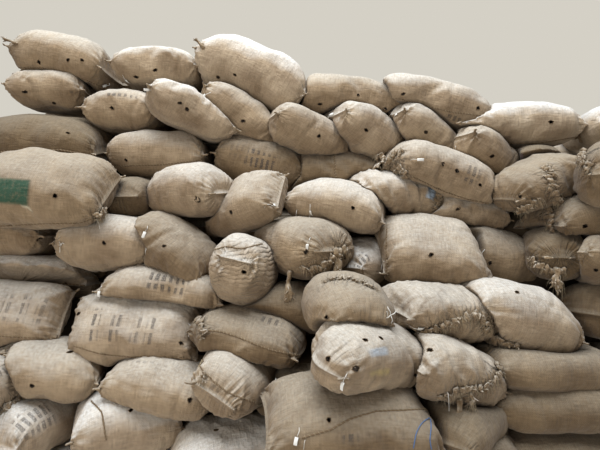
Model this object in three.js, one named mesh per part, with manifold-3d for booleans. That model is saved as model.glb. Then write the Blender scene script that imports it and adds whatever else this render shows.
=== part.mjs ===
// A free-standing stack of filled jute sacks, nine courses high, with a lower heap of sacks against its front.
// Millimetres, +Z up. +X runs along the stack to the right and +Y runs from its front to its back.
// The origin lies on the floor, on the underside of the stack's hidden middle.
import * as THREE from "three";
import { mergeVertices } from "three/addons/utils/BufferGeometryUtils.js";
import Module from "manifold-3d";

const wasm = await Module();
wasm.setup();

// Where the stack is seen from: an eye in front of its middle that looks straight along +Y.
const EYE_HEIGHT = 1500;
const EYE_TO_ORIGIN = 3700;
// The view is a grid of 600 columns by 450 rows, and VIEW_REACH is its focal length in columns.
const VIEW_MIDDLE = [300, 225];
const VIEW_REACH = 450;

// Gaps: what two pressed sacks keep between them, and how far the floor's cutter reaches.
const CONTACT_GAP = 0.4;
const FLOOR_CUTTER = 8000;

// A sack's mesh: how many faces go round it, in front and at the other sides, and how many bands lie
// along its length.
const FACES_ROUND = 10;
const OUTER_FACES_ROUND = 8;
const BANDS_ALONG = 6;

// How blunt a sack is: 1 is an ellipsoid, and less is fuller.
const BLUNT = { ends: 0.455, width: 0.44, thickness: 0.9, section: 0.85 };

// The hidden middle: a plain core, one layer for each course, and round it the sacks of its outer sides.
// Every second layer has its sacks lengthwise.
const LAYER_HEIGHT = 328;
const LAYER_OVERLAP = 2;
const CORE_INSET = 170;
const SACK_PITCHES = [620, 850];
const MIDDLE_LEFT = -2380;
const MIDDLE_BACK = 4640;

// The sacks round the core: their size against their share of the layer, and how unevenly they lie.
const OUTER_SACK = { long: 1.06, wide: 1.07, thick: 350, droop: 12, shift: 24, yaw: 8, tilt: 4, roll: 6 };
// From OPEN_LAYERS up all of them are there, because the layers above leave their tops open. Below
// OPEN_FRONTS the sacks right of the step have their front ends open too.
const OPEN_LAYERS = 6;
const OPEN_FRONTS = 3;

// Each layer from the floor up: its right end, how far away its front is on the left of the step and on
// the right of it, and where the step lies.
const LAYERS = [
  { right: 2600, frontLeft: 3250, frontRight: 2820, step: 0 },
  { right: 2600, frontLeft: 3300, frontRight: 2850, step: 0 },
  { right: 2600, frontLeft: 3350, frontRight: 3000, step: 150 },
  { right: 2600, frontLeft: 3550, frontRight: 3250, step: 150 },
  { right: 2600, frontLeft: 3650, frontRight: 3450, step: 1500 },
  { right: 2600, frontLeft: 3750, frontRight: 3450, step: 1500 },
  { right: 2600, frontLeft: 4100, frontRight: 4100, step: 1500 },
  { right: 1380, frontLeft: 4120, frontRight: 4120, step: 500 },
  { right: -380, frontLeft: 4140, frontRight: 4140, step: -900 },
];

// Every sack in front of the middle, from the floor up. seen is the column and row of its middle in the
// view, away is its distance from the eye, size is length, width and thickness, turn is yaw, tilt (right
// end down) and roll (top face forward) in degrees, and droop is how far its ends hang below its middle.
const SACKS = [
  { name: "sack_row1_1", seen: [35, 421], away: 3020, size: [735, 485, 400], turn: [80, 0, 0], droop: 10 },
  { name: "sack_row1_2", seen: [127, 420], away: 3000, size: [640, 535, 400], turn: [24, 3, 0], droop: 10 },
  { name: "sack_row1_3", seen: [235, 449], away: 2950, size: [820, 635, 340], turn: [16, 0, 0], droop: 10 },
  { name: "sack_row2_1", seen: [-16, 393], away: 2850, size: [760, 460, 440], turn: [76, 0, 0], droop: 10 },
  { name: "sack_row2_2", seen: [47, 368], away: 3060, size: [740, 600, 380], turn: [12, 5, 0], droop: 20 },
  { name: "sack_row2_3", seen: [165, 382], away: 3040, size: [700, 600, 380], turn: [0, 10, 0], droop: 20 },
  { name: "sack_row2_4", seen: [238, 375], away: 2960, size: [720, 455, 355], turn: [76, 0, 28], droop: 10 },
  { name: "sack_row2_5", seen: [348, 418], away: 2560, size: [945, 625, 400], turn: [8, 3, 15], droop: 25 },
  { name: "sack_row3_1", seen: [6, 314], away: 3160, size: [825, 490, 340], turn: [0, 3, 58], droop: 10 },
  { name: "sack_row3_2", seen: [137, 330], away: 3110, size: [880, 500, 350], turn: [0, 4, 58], droop: 15 },
  { name: "sack_row3_3", seen: [246, 333], away: 3060, size: [735, 560, 310], turn: [-6, 9, 8], droop: 15 },
  { name: "sack_row3_4", seen: [370, 353], away: 2640, size: [740, 520, 360], turn: [40, 10, 15], droop: 30 },
  { name: "sack_row3_5", seen: [440, 366], away: 2760, size: [720, 560, 360], turn: [30, 18, 6], droop: 20 },
  { name: "sack_row4_1", seen: [20, 284], away: 3310, size: [960, 600, 400], turn: [0, 2, 0], droop: 10 },
  { name: "sack_row4_2", seen: [169, 291], away: 3260, size: [840, 600, 365], turn: [0, 6, 0], droop: 15 },
  { name: "sack_row4_3", seen: [347, 310], away: 2780, size: [655, 510, 400], turn: [-78, 16, 0], droop: 10 },
  { name: "sack_row4_4", seen: [436, 311], away: 2960, size: [700, 550, 340], turn: [22, 9, 6], droop: 20 },
  { name: "sack_row4_5", seen: [510, 314], away: 3010, size: [800, 530, 410], turn: [8, 14, 8], droop: 30 },
  { name: "sack_row4_6", seen: [610, 311], away: 3160, size: [760, 560, 360], turn: [36, 5, 0], droop: 10 },
  { name: "sack_row5_1", seen: [9, 234], away: 3410, size: [740, 600, 320], turn: [0, 0, 0], droop: 10 },
  { name: "sack_row5_2", seen: [116, 242], away: 3350, size: [685, 600, 390], turn: [0, 3, 0], droop: 20 },
  { name: "sack_row5_3", seen: [172, 247], away: 3250, size: [700, 500, 350], turn: [-8, 31, 15], droop: 20 },
  { name: "sack_row5_4", seen: [245, 273], away: 3200, size: [745, 430, 470], turn: [88, 20, 14], droop: 10 },
  { name: "sack_row5_5", seen: [301, 247], away: 3310, size: [740, 600, 420], turn: [-56, 0, 0], droop: 15 },
  { name: "sack_row5_6", seen: [364, 262], away: 3560, size: [780, 560, 370], turn: [50, 0, 0], droop: 10 },
  { name: "sack_row5_7", seen: [429, 251], away: 3260, size: [720, 590, 385], turn: [-8, 6, 42], droop: 20 },
  { name: "sack_row5_8", seen: [477, 254], away: 3500, size: [800, 560, 430], turn: [6, 8, 12], droop: 15 },
  { name: "sack_row5_9", seen: [548, 253], away: 3360, size: [800, 440, 380], turn: [72, 0, 0], droop: 10 },
  { name: "sack_row5_10", seen: [596, 263], away: 3110, size: [710, 560, 320], turn: [16, 16, 0], droop: 10 },
  { name: "sack_row6_1", seen: [44, 189], away: 3160, size: [920, 645, 445], turn: [0, 3, 38], droop: 15 },
  { name: "sack_row6_2", seen: [192, 191], away: 3450, size: [605, 500, 390], turn: [-32, 0, 6], droop: 30 },
  { name: "sack_row6_3", seen: [245, 203], away: 3390, size: [650, 470, 330], turn: [-30, -15, 50], droop: 15 },
  { name: "sack_row6_4", seen: [339, 203], away: 3450, size: [735, 600, 330], turn: [-14, 12, 8], droop: 50 },
  { name: "sack_row6_5", seen: [389, 194], away: 3560, size: [700, 560, 310], turn: [14, 6, 6], droop: 20 },
  { name: "sack_row6_6", seen: [455, 212], away: 3650, size: [700, 560, 320], turn: [0, 9, 0], droop: 15 },
  { name: "sack_row6_7", seen: [591, 217], away: 3260, size: [820, 600, 330], turn: [8, -8, 0], droop: 10 },
  { name: "sack_row6_8", seen: [538, 181], away: 3310, size: [670, 535, 310], turn: [20, -22, 6], droop: 20 },
  { name: "sack_row6_9", seen: [618, 178], away: 3050, size: [820, 540, 480], turn: [64, 0, 0], droop: 10 },
  { name: "sack_row7_1", seen: [51, 147], away: 3760, size: [965, 695, 480], turn: [0, 3, 12], droop: 20 },
  { name: "sack_row7_2", seen: [164, 157], away: 3800, size: [765, 600, 400], turn: [0, 1, 0], droop: 15 },
  { name: "sack_row7_3", seen: [262, 165], away: 3850, size: [725, 600, 420], turn: [0, 13, 0], droop: 20 },
  { name: "sack_row7_4", seen: [330, 178], away: 3850, size: [855, 600, 415], turn: [0, 1, 0], droop: 10 },
  { name: "sack_row7_5", seen: [438, 175], away: 3560, size: [900, 620, 400], turn: [4, 19, 8], droop: 35 },
  { name: "sack_row8_1", seen: [57, 93], away: 3880, size: [605, 590, 290], turn: [4, 3, 0], droop: 20 },
  { name: "sack_row8_2", seen: [129, 113], away: 3850, size: [590, 600, 315], turn: [0, 2, 0], droop: 25 },
  { name: "sack_row8_4", seen: [239, 119], away: 3810, size: [700, 600, 350], turn: [14, 36, 0], droop: 20 },
  { name: "sack_row8_5", seen: [302, 137], away: 3750, size: [680, 600, 375], turn: [26, 22, 0], droop: 25 },
  { name: "sack_row8_6", seen: [362, 136], away: 3780, size: [670, 600, 385], turn: [28, 26, 0], droop: 25 },
  { name: "sack_row8_7", seen: [415, 138], away: 3800, size: [690, 600, 380], turn: [28, 28, 0], droop: 25 },
  { name: "sack_row8_8", seen: [476, 160], away: 3730, size: [690, 600, 370], turn: [30, 30, 0], droop: 25 },
  { name: "sack_row8_9", seen: [526, 169], away: 3720, size: [820, 540, 330], turn: [70, 0, 0], droop: 10 },
  { name: "sack_row8_3", seen: [191, 112], away: 3660, size: [730, 630, 295], turn: [24, 22, 4], droop: 20 },
  { name: "sack_row9_1", seen: [70, 63], away: 3900, size: [755, 600, 405], turn: [0, 13, 0], droop: 40 },
  { name: "sack_row9_2", seen: [162, 71], away: 3900, size: [715, 600, 290], turn: [0, 3, 0], droop: 25 },
  { name: "sack_row9_3", seen: [255, 76], away: 3850, size: [945, 620, 450], turn: [0, 23, 0], droop: 45 },
  { name: "sack_row9_4", seen: [346, 103], away: 3900, size: [930, 600, 380], turn: [0, 8, 0], droop: 35 },
  { name: "sack_row9_5", seen: [421, 105], away: 3800, size: [1020, 600, 370], turn: [0, 12, 0], droop: 30 },
  { name: "sack_row9_6", seen: [512, 127], away: 3750, size: [1060, 600, 325], turn: [0, -1, 0], droop: 20 },
  { name: "sack_row9_7", seen: [609, 130], away: 3800, size: [800, 540, 340], turn: [80, 0, 0], droop: 10 },
];

// Sacks that are part of the hidden middle's solid, because the view hardly shows them.
const MIDDLE_SACKS = [
  { seen: [352, 459], away: 2560, size: [840, 600, 310], turn: [4, 0, 0], droop: 10 },
  { seen: [448, 452], away: 2720, size: [820, 600, 330], turn: [30, 0, 0], droop: 10 },
  { seen: [545, 448], away: 2900, size: [860, 600, 340], turn: [0, 0, 0], droop: 10 },
  { seen: [452, 414], away: 2780, size: [800, 600, 340], turn: [56, 0, 0], droop: 10 },
  { seen: [545, 398], away: 2920, size: [860, 600, 350], turn: [0, 0, 0], droop: 10 },
  { seen: [540, 362], away: 2960, size: [860, 600, 340], turn: [8, 4, 0], droop: 10 },
  { seen: [284, 306], away: 3240, size: [700, 560, 350], turn: [0, 4, 0], droop: 10 },
  { seen: [302, 386], away: 3120, size: [700, 560, 360], turn: [0, 0, 0], droop: 10 },
  { seen: [136, 198], away: 3620, size: [640, 480, 340], turn: [84, 0, 0], droop: 10 },
];

const jute = new THREE.MeshStandardMaterial({ color: 0xa68f72, roughness: 0.92, metalness: 0 });
const shadedJute = new THREE.MeshStandardMaterial({ color: 0x8f7a60, roughness: 0.95, metalness: 0 });

// The point of the stack's own frame that the view shows at a column and row, at a distance from the eye.
function seenPoint([column, row], away) {
  const scale = away / VIEW_REACH;
  return new THREE.Vector3(
    (column - VIEW_MIDDLE[0]) * scale,
    away - EYE_TO_ORIGIN,
    EYE_HEIGHT + (VIEW_MIDDLE[1] - row) * scale,
  );
}

const power = (value, exponent) => Math.sign(value) * Math.abs(value) ** exponent;

// A filled sack about its own middle: a sphere whose poles are the sack's ends, made blunt like a pillow.
// Its length lies along X, its width along Y and its thickness along Z.
function sackGeometry([length, width, thickness], droop, faces) {
  const sphere = new THREE.SphereGeometry(1, faces, BANDS_ALONG).rotateZ(-Math.PI / 2);
  const places = sphere.getAttribute("position");
  for (let i = 0; i < places.count; i += 1) {
    const along = Math.max(-1, Math.min(1, places.getX(i)));
    const ring = Math.sqrt(1 - along * along);
    const round = Math.atan2(places.getZ(i), places.getY(i));
    const share = power(along, BLUNT.ends);
    const halfWidth = (width / 2) * ring ** BLUNT.width;
    const halfThickness = (thickness / 2) * ring ** BLUNT.thickness;
    places.setXYZ(
      i,
      (length / 2) * share,
      halfWidth * power(Math.cos(round), BLUNT.section),
      halfThickness * power(Math.sin(round), BLUNT.section) - droop * share * share,
    );
  }
  return sphere;
}

// A geometry as a solid that can be joined and cut.
function solidOf(geometry) {
  const bare = new THREE.BufferGeometry();
  bare.setAttribute("position", geometry.getAttribute("position"));
  if (geometry.index) bare.setIndex(geometry.index);
  const merged = mergeVertices(bare, 1e-3);
  const made = new wasm.Manifold(
    new wasm.Mesh({
      numProp: 3,
      vertProperties: merged.getAttribute("position").array,
      triVerts: new Uint32Array(merged.index.array),
    }),
  );
  return made;
}

// A solid back as a geometry.
function geometryOf(solid) {
  const mesh = solid.getMesh();
  const places = new Float32Array(mesh.numVert * 3);
  for (let i = 0; i < mesh.numVert; i += 1) {
    places.set(mesh.vertProperties.subarray(i * mesh.numProp, i * mesh.numProp + 3), i * 3);
  }
  const geometry = new THREE.BufferGeometry();
  geometry.setAttribute("position", new THREE.BufferAttribute(places, 3));
  geometry.setIndex(new THREE.BufferAttribute(mesh.triVerts, 1));
  return geometry;
}

// A sack turned and set with its middle at a place.
function turnedSack(middle, size, turn, droop, faces = FACES_ROUND) {
  const [yaw, tilt, roll] = turn.map(THREE.MathUtils.degToRad);
  const turned = new THREE.Quaternion().setFromEuler(new THREE.Euler(roll, tilt, yaw, "ZYX"));
  const place = new THREE.Matrix4().compose(middle, turned, new THREE.Vector3(1, 1, 1));
  return sackGeometry(size, droop, faces).applyMatrix4(place);
}

// A sack of the lists.
function placedSack({ seen, away, size, turn, droop }) {
  const middle = seenPoint(seen, away);
  return { geometry: turnedSack(middle, size, turn, droop), middle, size };
}

// One layer of the core: a block on each side of the step in its front. An open layer is half as high.
function coreLayer({ right, frontLeft, frontRight, step }, index) {
  const low = index > OPEN_LAYERS ? (index - 0.5) * LAYER_HEIGHT : index * LAYER_HEIGHT;
  const high = index >= OPEN_LAYERS ? (index + 0.5) * LAYER_HEIGHT : (index + 1) * LAYER_HEIGHT + LAYER_OVERLAP;
  const far = MIDDLE_BACK - CORE_INSET - EYE_TO_ORIGIN;
  const sides = [
    [MIDDLE_LEFT + CORE_INSET, step + 1, frontLeft - EYE_TO_ORIGIN],
    [step, right - CORE_INSET, frontRight - EYE_TO_ORIGIN + (index < OPEN_FRONTS ? CORE_INSET : 0)],
  ];
  const blocks = sides.map(([from, to, near]) =>
    solidOf(
      new THREE.BoxGeometry(to - from, far - near, high - low).translate(
        (from + to) / 2,
        (near + far) / 2,
        (low + high) / 2,
      ),
    ),
  );
  return blocks[0].add(blocks[1]);
}

// An even scatter between -0.5 and 0.5 for whole numbers.
const scatter = (count) => ((count * 0.618034) % 1) - 0.5;

// The sacks of one layer's right end, back and left end, in columns and rows of even pitch.
function outerSacks({ right, frontLeft, frontRight, step }, index) {
  const lengthwise = index % 2 === 1;
  const columns = Math.round((right - MIDDLE_LEFT) / SACK_PITCHES[index % 2]);
  const pitchX = (right - MIDDLE_LEFT) / columns;
  const found = [];
  for (let column = 0; column < columns; column += 1) {
    const x = MIDDLE_LEFT + (column + 0.5) * pitchX;
    const depth = MIDDLE_BACK - (x < step ? frontLeft : frontRight);
    const rows = Math.max(1, Math.round(depth / SACK_PITCHES[(index + 1) % 2]));
    const pitchY = depth / rows;
    for (let row = 0; row < rows; row += 1) {
      const openFront = index < OPEN_FRONTS && x > step && row === rows - 1;
      const inside = row > 0 && column > 0 && column < columns - 1 && !openFront;
      if (inside && index < OPEN_LAYERS) continue;
      const count = 100 * index + 10 * column + row;
      const middle = new THREE.Vector3(
        x + OUTER_SACK.shift * scatter(count),
        MIDDLE_BACK - EYE_TO_ORIGIN - (row + 0.5) * pitchY + OUTER_SACK.shift * scatter(count + 3),
        LAYER_HEIGHT * (index + 0.5),
      );
      const [along, across] = lengthwise ? [pitchX, pitchY] : [pitchY, pitchX];
      const size = [along * OUTER_SACK.long, across * OUTER_SACK.wide, OUTER_SACK.thick];
      const turn = [
        (lengthwise ? 0 : 90) + OUTER_SACK.yaw * scatter(count + 5),
        OUTER_SACK.tilt * scatter(count + 7),
        OUTER_SACK.roll * scatter(count + 9),
      ];
      found.push(solidOf(turnedSack(middle, size, turn, OUTER_SACK.droop, OUTER_FACES_ROUND)));
    }
  }
  return found;
}

// The block below the floor, which gives the lowest sacks their flat undersides.
const floorCutter = solidOf(
  new THREE.BoxGeometry(FLOOR_CUTTER, FLOOR_CUTTER, FLOOR_CUTTER).translate(0, 0, -FLOOR_CUTTER / 2),
);

// The largest outer skin of a solid, without crumbs that a cut left over and without pockets inside.
function outerBody(solid) {
  const parts = solid.decompose();
  return parts.reduce((best, part) => (part.volume() > best.volume() ? part : best)).asOriginal();
}

function hiddenMiddle() {
  const pieces = LAYERS.flatMap((layer, index) => [coreLayer(layer, index), ...outerSacks(layer, index)]);
  const front = MIDDLE_SACKS.map((sack) => solidOf(placedSack(sack).geometry));
  return wasm.Manifold.union([...pieces, ...front]).subtract(floorCutter);
}

// The solid a little larger about a point, as the cutter that leaves a gap round it.
function grown(solid, about, size) {
  const share = 1 + (2 * CONTACT_GAP) / size[2];
  const shift = about.clone().multiplyScalar(1 - share);
  return solid.scale(share).translate([shift.x, shift.y, shift.z]);
}

const boxesMeet = (a, b) =>
  [0, 1, 2].every((axis) => a.min[axis] <= b.max[axis] && b.min[axis] <= a.max[axis]);

const stack = new THREE.Group();
stack.name = "sack_stack";

function addPiece(name, solid, material) {
  const mesh = new THREE.Mesh(geometryOf(solid), material);
  mesh.name = name;
  stack.add(mesh);
}

// Each sack lies on those before it, and takes their shape where it presses on them.
const cutters = [];
for (const row of SACKS) {
  const { geometry, middle, size } = placedSack(row);
  const whole = solidOf(geometry);
  let sack = whole.subtract(floorCutter);
  for (const cutter of cutters) {
    if (boxesMeet(sack.boundingBox(), cutter.boundingBox())) sack = sack.subtract(cutter);
  }
  addPiece(row.name, outerBody(sack), jute);
  cutters.push(grown(whole, middle, size));
}

// The hidden middle fills what the sacks leave behind them.
let filling = hiddenMiddle();
for (const cutter of cutters) filling = outerBody(filling.subtract(cutter));
addPiece("hidden_middle", outerBody(filling), shadedJute);

export default stack;
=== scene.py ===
import math
import time
import bpy
import numpy as np
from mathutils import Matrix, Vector
from mathutils.bvhtree import BVHTree


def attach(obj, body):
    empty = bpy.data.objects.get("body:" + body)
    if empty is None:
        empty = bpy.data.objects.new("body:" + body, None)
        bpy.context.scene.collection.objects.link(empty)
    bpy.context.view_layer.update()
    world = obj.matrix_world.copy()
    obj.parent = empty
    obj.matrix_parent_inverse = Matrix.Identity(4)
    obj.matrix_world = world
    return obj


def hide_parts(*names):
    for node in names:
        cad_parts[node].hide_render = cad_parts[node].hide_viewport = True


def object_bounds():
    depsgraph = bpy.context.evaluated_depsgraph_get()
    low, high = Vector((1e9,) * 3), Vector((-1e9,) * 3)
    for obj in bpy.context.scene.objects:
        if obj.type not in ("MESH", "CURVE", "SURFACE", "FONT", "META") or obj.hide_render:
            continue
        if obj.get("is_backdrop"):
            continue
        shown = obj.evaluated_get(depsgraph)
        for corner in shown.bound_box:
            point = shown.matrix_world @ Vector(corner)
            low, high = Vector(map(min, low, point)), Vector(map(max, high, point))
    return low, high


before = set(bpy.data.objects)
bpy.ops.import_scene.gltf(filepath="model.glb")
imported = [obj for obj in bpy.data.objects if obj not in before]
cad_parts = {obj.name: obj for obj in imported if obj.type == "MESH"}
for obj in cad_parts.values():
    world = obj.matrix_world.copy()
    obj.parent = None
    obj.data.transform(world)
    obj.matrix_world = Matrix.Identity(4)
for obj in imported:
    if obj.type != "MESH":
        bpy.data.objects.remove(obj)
started = time.time()
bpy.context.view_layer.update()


def report(stage):
    print(f"{stage}: {time.time() - started:.0f} s", flush=True)


# where things are, in millimetres as in the part's source, turned into metres when a mesh is made
view = {"eyeHeight": 1500, "eyeToOrigin": 3700, "middle": (300, 225), "reach": 450, "columns": 600}
# a sack's form: how blunt it is, the least half thickness of its sewn ends and of a tied neck, how far a tie
# pulls the cloth in, the flap past a sewn end, and how far its corners stand out, as a share of its half
form = {"along": 4.4, "width": 0.22, "thickness": 0.45, "section": 0.85, "seamHalf": 5.0, "neckHalf": 22,
        "tied": 0.86, "flap": 12, "corner": 0.075}
# rings along a sack and points round it: in front, in the hidden middle, and in the gaps between front sacks
density = {"front": (54, 86), "middle": (24, 26), "middleFront": (40, 48)}

# each sack: column and row of its middle in the view, distance, size, turn in degrees, droop
# a later sack yields to the earlier ones where they meet, so row8_3 stands after row8_9
sacks = {
    "row1_1": ((35, 421), 3020, (735, 485, 400), (80, 0, 0), 10),
    "row1_2": ((127, 420), 3000, (640, 535, 400), (24, 3, 0), 10),
    "row1_3": ((235, 449), 2950, (820, 635, 340), (16, 0, 0), 10),
    "row2_1": ((-16, 393), 2850, (760, 460, 440), (76, 0, 0), 10),
    "row2_2": ((47, 368), 3060, (740, 600, 380), (12, 5, 0), 20),
    "row2_3": ((165, 382), 3040, (700, 600, 380), (0, 10, 0), 20),
    "row2_4": ((238, 375), 2960, (720, 455, 355), (76, 0, 28), 10),
    "row2_5": ((348, 418), 2560, (945, 625, 400), (8, 3, 15), 25),
    "row3_1": ((6, 314), 3160, (825, 490, 340), (0, 3, 58), 10),
    "row3_2": ((137, 330), 3110, (880, 500, 350), (0, 4, 58), 15),
    "row3_3": ((246, 333), 3060, (735, 560, 310), (-6, 9, 8), 15),
    "row3_4": ((370, 353), 2640, (740, 520, 360), (40, 10, 15), 30),
    "row3_5": ((440, 366), 2760, (720, 560, 360), (30, 18, 6), 20),
    "row4_1": ((20, 284), 3310, (960, 600, 400), (0, 2, 0), 10),
    "row4_2": ((169, 291), 3260, (840, 600, 365), (0, 6, 0), 15),
    "row4_3": ((347, 310), 2780, (655, 510, 400), (-78, 16, 0), 10),
    "row4_4": ((436, 311), 2960, (700, 550, 340), (22, 9, 6), 20),
    "row4_5": ((510, 314), 3010, (800, 530, 410), (8, 14, 8), 30),
    "row4_6": ((610, 311), 3160, (760, 560, 360), (36, 5, 0), 10),
    "row5_1": ((9, 234), 3410, (740, 600, 320), (0, 0, 0), 10),
    "row5_2": ((116, 242), 3350, (685, 600, 390), (0, 3, 0), 20),
    "row5_3": ((172, 247), 3250, (700, 500, 350), (-8, 31, 15), 20),
    "row5_4": ((245, 273), 3200, (745, 430, 470), (88, 20, 14), 10),
    "row5_5": ((301, 247), 3310, (740, 600, 420), (-56, 0, 0), 15),
    "row5_6": ((364, 262), 3560, (780, 560, 370), (50, 0, 0), 10),
    "row5_7": ((429, 251), 3260, (720, 590, 385), (-8, 6, 42), 20),
    "row5_8": ((477, 254), 3500, (800, 560, 430), (6, 8, 12), 15),
    "row5_9": ((548, 253), 3360, (800, 440, 380), (72, 0, 0), 10),
    "row5_10": ((596, 263), 3110, (710, 560, 320), (16, 16, 0), 10),
    "row6_1": ((44, 189), 3160, (920, 645, 445), (0, 3, 38), 15),
    "row6_2": ((192, 191), 3450, (605, 500, 390), (-32, 0, 6), 30),
    "row6_3": ((245, 203), 3390, (650, 470, 330), (-30, -15, 50), 15),
    "row6_4": ((339, 203), 3450, (735, 600, 330), (-14, 12, 8), 50),
    "row6_5": ((389, 194), 3560, (700, 560, 310), (14, 6, 6), 20),
    "row6_6": ((455, 212), 3650, (700, 560, 320), (0, 9, 0), 15),
    "row6_7": ((591, 217), 3260, (820, 600, 330), (8, -8, 0), 10),
    "row6_8": ((538, 181), 3310, (670, 535, 310), (20, -22, 6), 20),
    "row6_9": ((618, 178), 3050, (820, 540, 480), (64, 0, 0), 10),
    "row7_1": ((51, 147), 3760, (965, 695, 480), (0, 3, 12), 20),
    "row7_2": ((164, 157), 3800, (765, 600, 400), (0, 1, 0), 15),
    "row7_3": ((262, 165), 3850, (725, 600, 420), (0, 13, 0), 20),
    "row7_4": ((330, 178), 3850, (855, 600, 415), (0, 1, 0), 10),
    "row7_5": ((438, 175), 3560, (900, 620, 400), (4, 19, 8), 35),
    "row8_1": ((57, 93), 3880, (605, 590, 290), (4, 3, 0), 20),
    "row8_2": ((129, 113), 3850, (590, 600, 315), (0, 2, 0), 25),
    "row8_4": ((239, 119), 3810, (700, 600, 350), (14, 36, 0), 20),
    "row8_5": ((302, 137), 3750, (680, 600, 375), (26, 22, 0), 25),
    "row8_6": ((362, 136), 3780, (670, 600, 385), (28, 26, 0), 25),
    "row8_7": ((415, 138), 3800, (690, 600, 380), (28, 28, 0), 25),
    "row8_8": ((476, 160), 3730, (690, 600, 370), (30, 30, 0), 25),
    "row8_9": ((526, 169), 3720, (820, 540, 330), (70, 0, 0), 10),
    "row8_3": ((191, 112), 3660, (730, 630, 295), (24, 22, 4), 20),
    "row9_1": ((70, 63), 3900, (755, 600, 405), (0, 13, 0), 40),
    "row9_2": ((162, 71), 3900, (715, 600, 290), (0, 3, 0), 25),
    "row9_3": ((255, 76), 3850, (945, 620, 450), (0, 23, 0), 45),
    "row9_4": ((346, 103), 3900, (930, 600, 380), (0, 8, 0), 35),
    "row9_5": ((421, 105), 3800, (1020, 600, 370), (0, 12, 0), 30),
    "row9_6": ((512, 127), 3750, (1060, 600, 325), (0, -1, 0), 20),
    "row9_7": ((609, 130), 3800, (800, 540, 340), (80, 0, 0), 10),
}
# sacks that the hidden middle's solid holds
middleSacks = [
    ((352, 459), 2560, (840, 600, 310), (4, 0, 0), 10),
    ((448, 452), 2720, (820, 600, 330), (30, 0, 0), 10),
    ((545, 448), 2900, (860, 600, 340), (0, 0, 0), 10),
    ((452, 414), 2780, (800, 600, 340), (56, 0, 0), 10),
    ((545, 398), 2920, (860, 600, 350), (0, 0, 0), 10),
    ((540, 362), 2960, (860, 600, 340), (8, 4, 0), 10),
    ((284, 306), 3240, (700, 560, 350), (0, 4, 0), 10),
    ((302, 386), 3120, (700, 560, 360), (0, 0, 0), 10),
    ((136, 198), 3620, (640, 480, 340), (84, 0, 0), 10),
]
# the hidden middle's layers, from the floor up, how much its sacks overlap, and how far they lie out of line
layers = {
    "height": 328, "left": -2380, "back": 4640, "inset": 170, "pitches": (620, 850),
    "right": (2600, 2600, 2600, 2600, 2600, 2600, 2600, 1380, -380),
    "frontLeft": (3250, 3300, 3350, 3550, 3650, 3750, 4100, 4120, 4140),
    "frontRight": (2820, 2850, 3000, 3250, 3450, 3450, 4100, 4120, 4140),
    "step": (0, 0, 150, 150, 1500, 1500, 1500, 500, -900),
    "overlap": (1.06, 1.07), "thick": 350, "droop": 12, "astray": 24, "margin": 60,
}


def seenPoint(pixel, away):
    # the point that a column and row show at a distance from the eye
    scale = away / view["reach"]
    return np.array([(pixel[0] - view["middle"][0]) * scale, away - view["eyeToOrigin"],
                     view["eyeHeight"] + (view["middle"][1] - pixel[1]) * scale])


def turned(turn):
    # yaw about Z, then tilt about Y, then roll about X
    yaw, tilt, roll = np.radians(turn)
    aboutZ = np.array([[math.cos(yaw), -math.sin(yaw), 0], [math.sin(yaw), math.cos(yaw), 0], [0, 0, 1]])
    aboutY = np.array([[math.cos(tilt), 0, math.sin(tilt)], [0, 1, 0], [-math.sin(tilt), 0, math.cos(tilt)]])
    aboutX = np.array([[1, 0, 0], [0, math.cos(roll), -math.sin(roll)], [0, math.sin(roll), math.cos(roll)]])
    return aboutZ @ aboutY @ aboutX


# a sack like most: how narrow its two ends are, how far each is tied into a neck, how slack and how round it
# is, its folds as direction, spacing and height, and ends cut at an angle, swollen or leaning, in millimetres
likeMost = {"ends": (0.8, 0.8), "neck": (0, 0), "slack": 0.35, "folds": (), "round": 0.3,
            "skew": (0, 0), "bow": (0, 0), "lean": (0, 0)}


def makeSack(name, centre, size, turn, droop, seed, **look):
    # all that the other functions read about one sack
    placed = {"name": name, "centre": np.array(centre, float), "half": np.array(size) / 2,
              "turn": turned(turn), "droop": droop, "seed": seed, "reach": np.linalg.norm(size) / 2}
    return {**likeMost, **look, **placed}


def smooth(value):
    # an S curve from 0 to 1
    value = np.clip(value, 0, 1)
    return value * value * (3 - 2 * value)


def bell(value, width):
    # 1 in the middle, and falling off with the square of the distance
    return np.exp(-(value / width) ** 2)


def around(count):
    # even angles round a circle
    return np.linspace(0, 2 * math.pi, count, endpoint=False)


def atEnd(pair, s):
    # the first value on the left half of a sack, the second on the right half
    return np.where(s < 0, pair[0], pair[1])


def signedPower(value, power):
    # a power that keeps the value's sign
    return np.sign(value) * np.abs(value) ** power


def unit(vectors):
    # each vector divided by its length
    return vectors / np.maximum(np.linalg.norm(vectors, axis=-1, keepdims=True), 1e-6)


def distances(points):
    # how far each point lies along its line
    return np.concatenate([[0], np.cumsum(np.linalg.norm(np.diff(points, axis=0), axis=1))])


def between(values, lengths, at):
    # the values at some distances along a line
    return np.stack([np.interp(at, lengths, column) for column in values.T], axis=-1)


def profile(sack, s):
    # half width and half thickness at s, the share of the half length: powers that fall off near the ends
    share = np.clip(np.abs(s), 0, 1) ** (form["along"] * (1 - 0.42 * sack["round"]))
    blunt = form["width"] * (1 + 0.9 * sack["round"])
    neck = atEnd(sack["neck"], s)
    tie = 1 - neck * form["tied"] * smooth((np.abs(s) - 0.62) / 0.36)
    width = sack["half"][1] * (1 - share * (1 - atEnd(sack["ends"], s) ** (1 / blunt))) ** blunt * tie
    thickness = sack["half"][2] * (1 - share) ** form["thickness"] * (0.35 + 0.65 * tie)
    return width, np.maximum(thickness, form["seamHalf"] + neck * form["neckHalf"])


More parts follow.
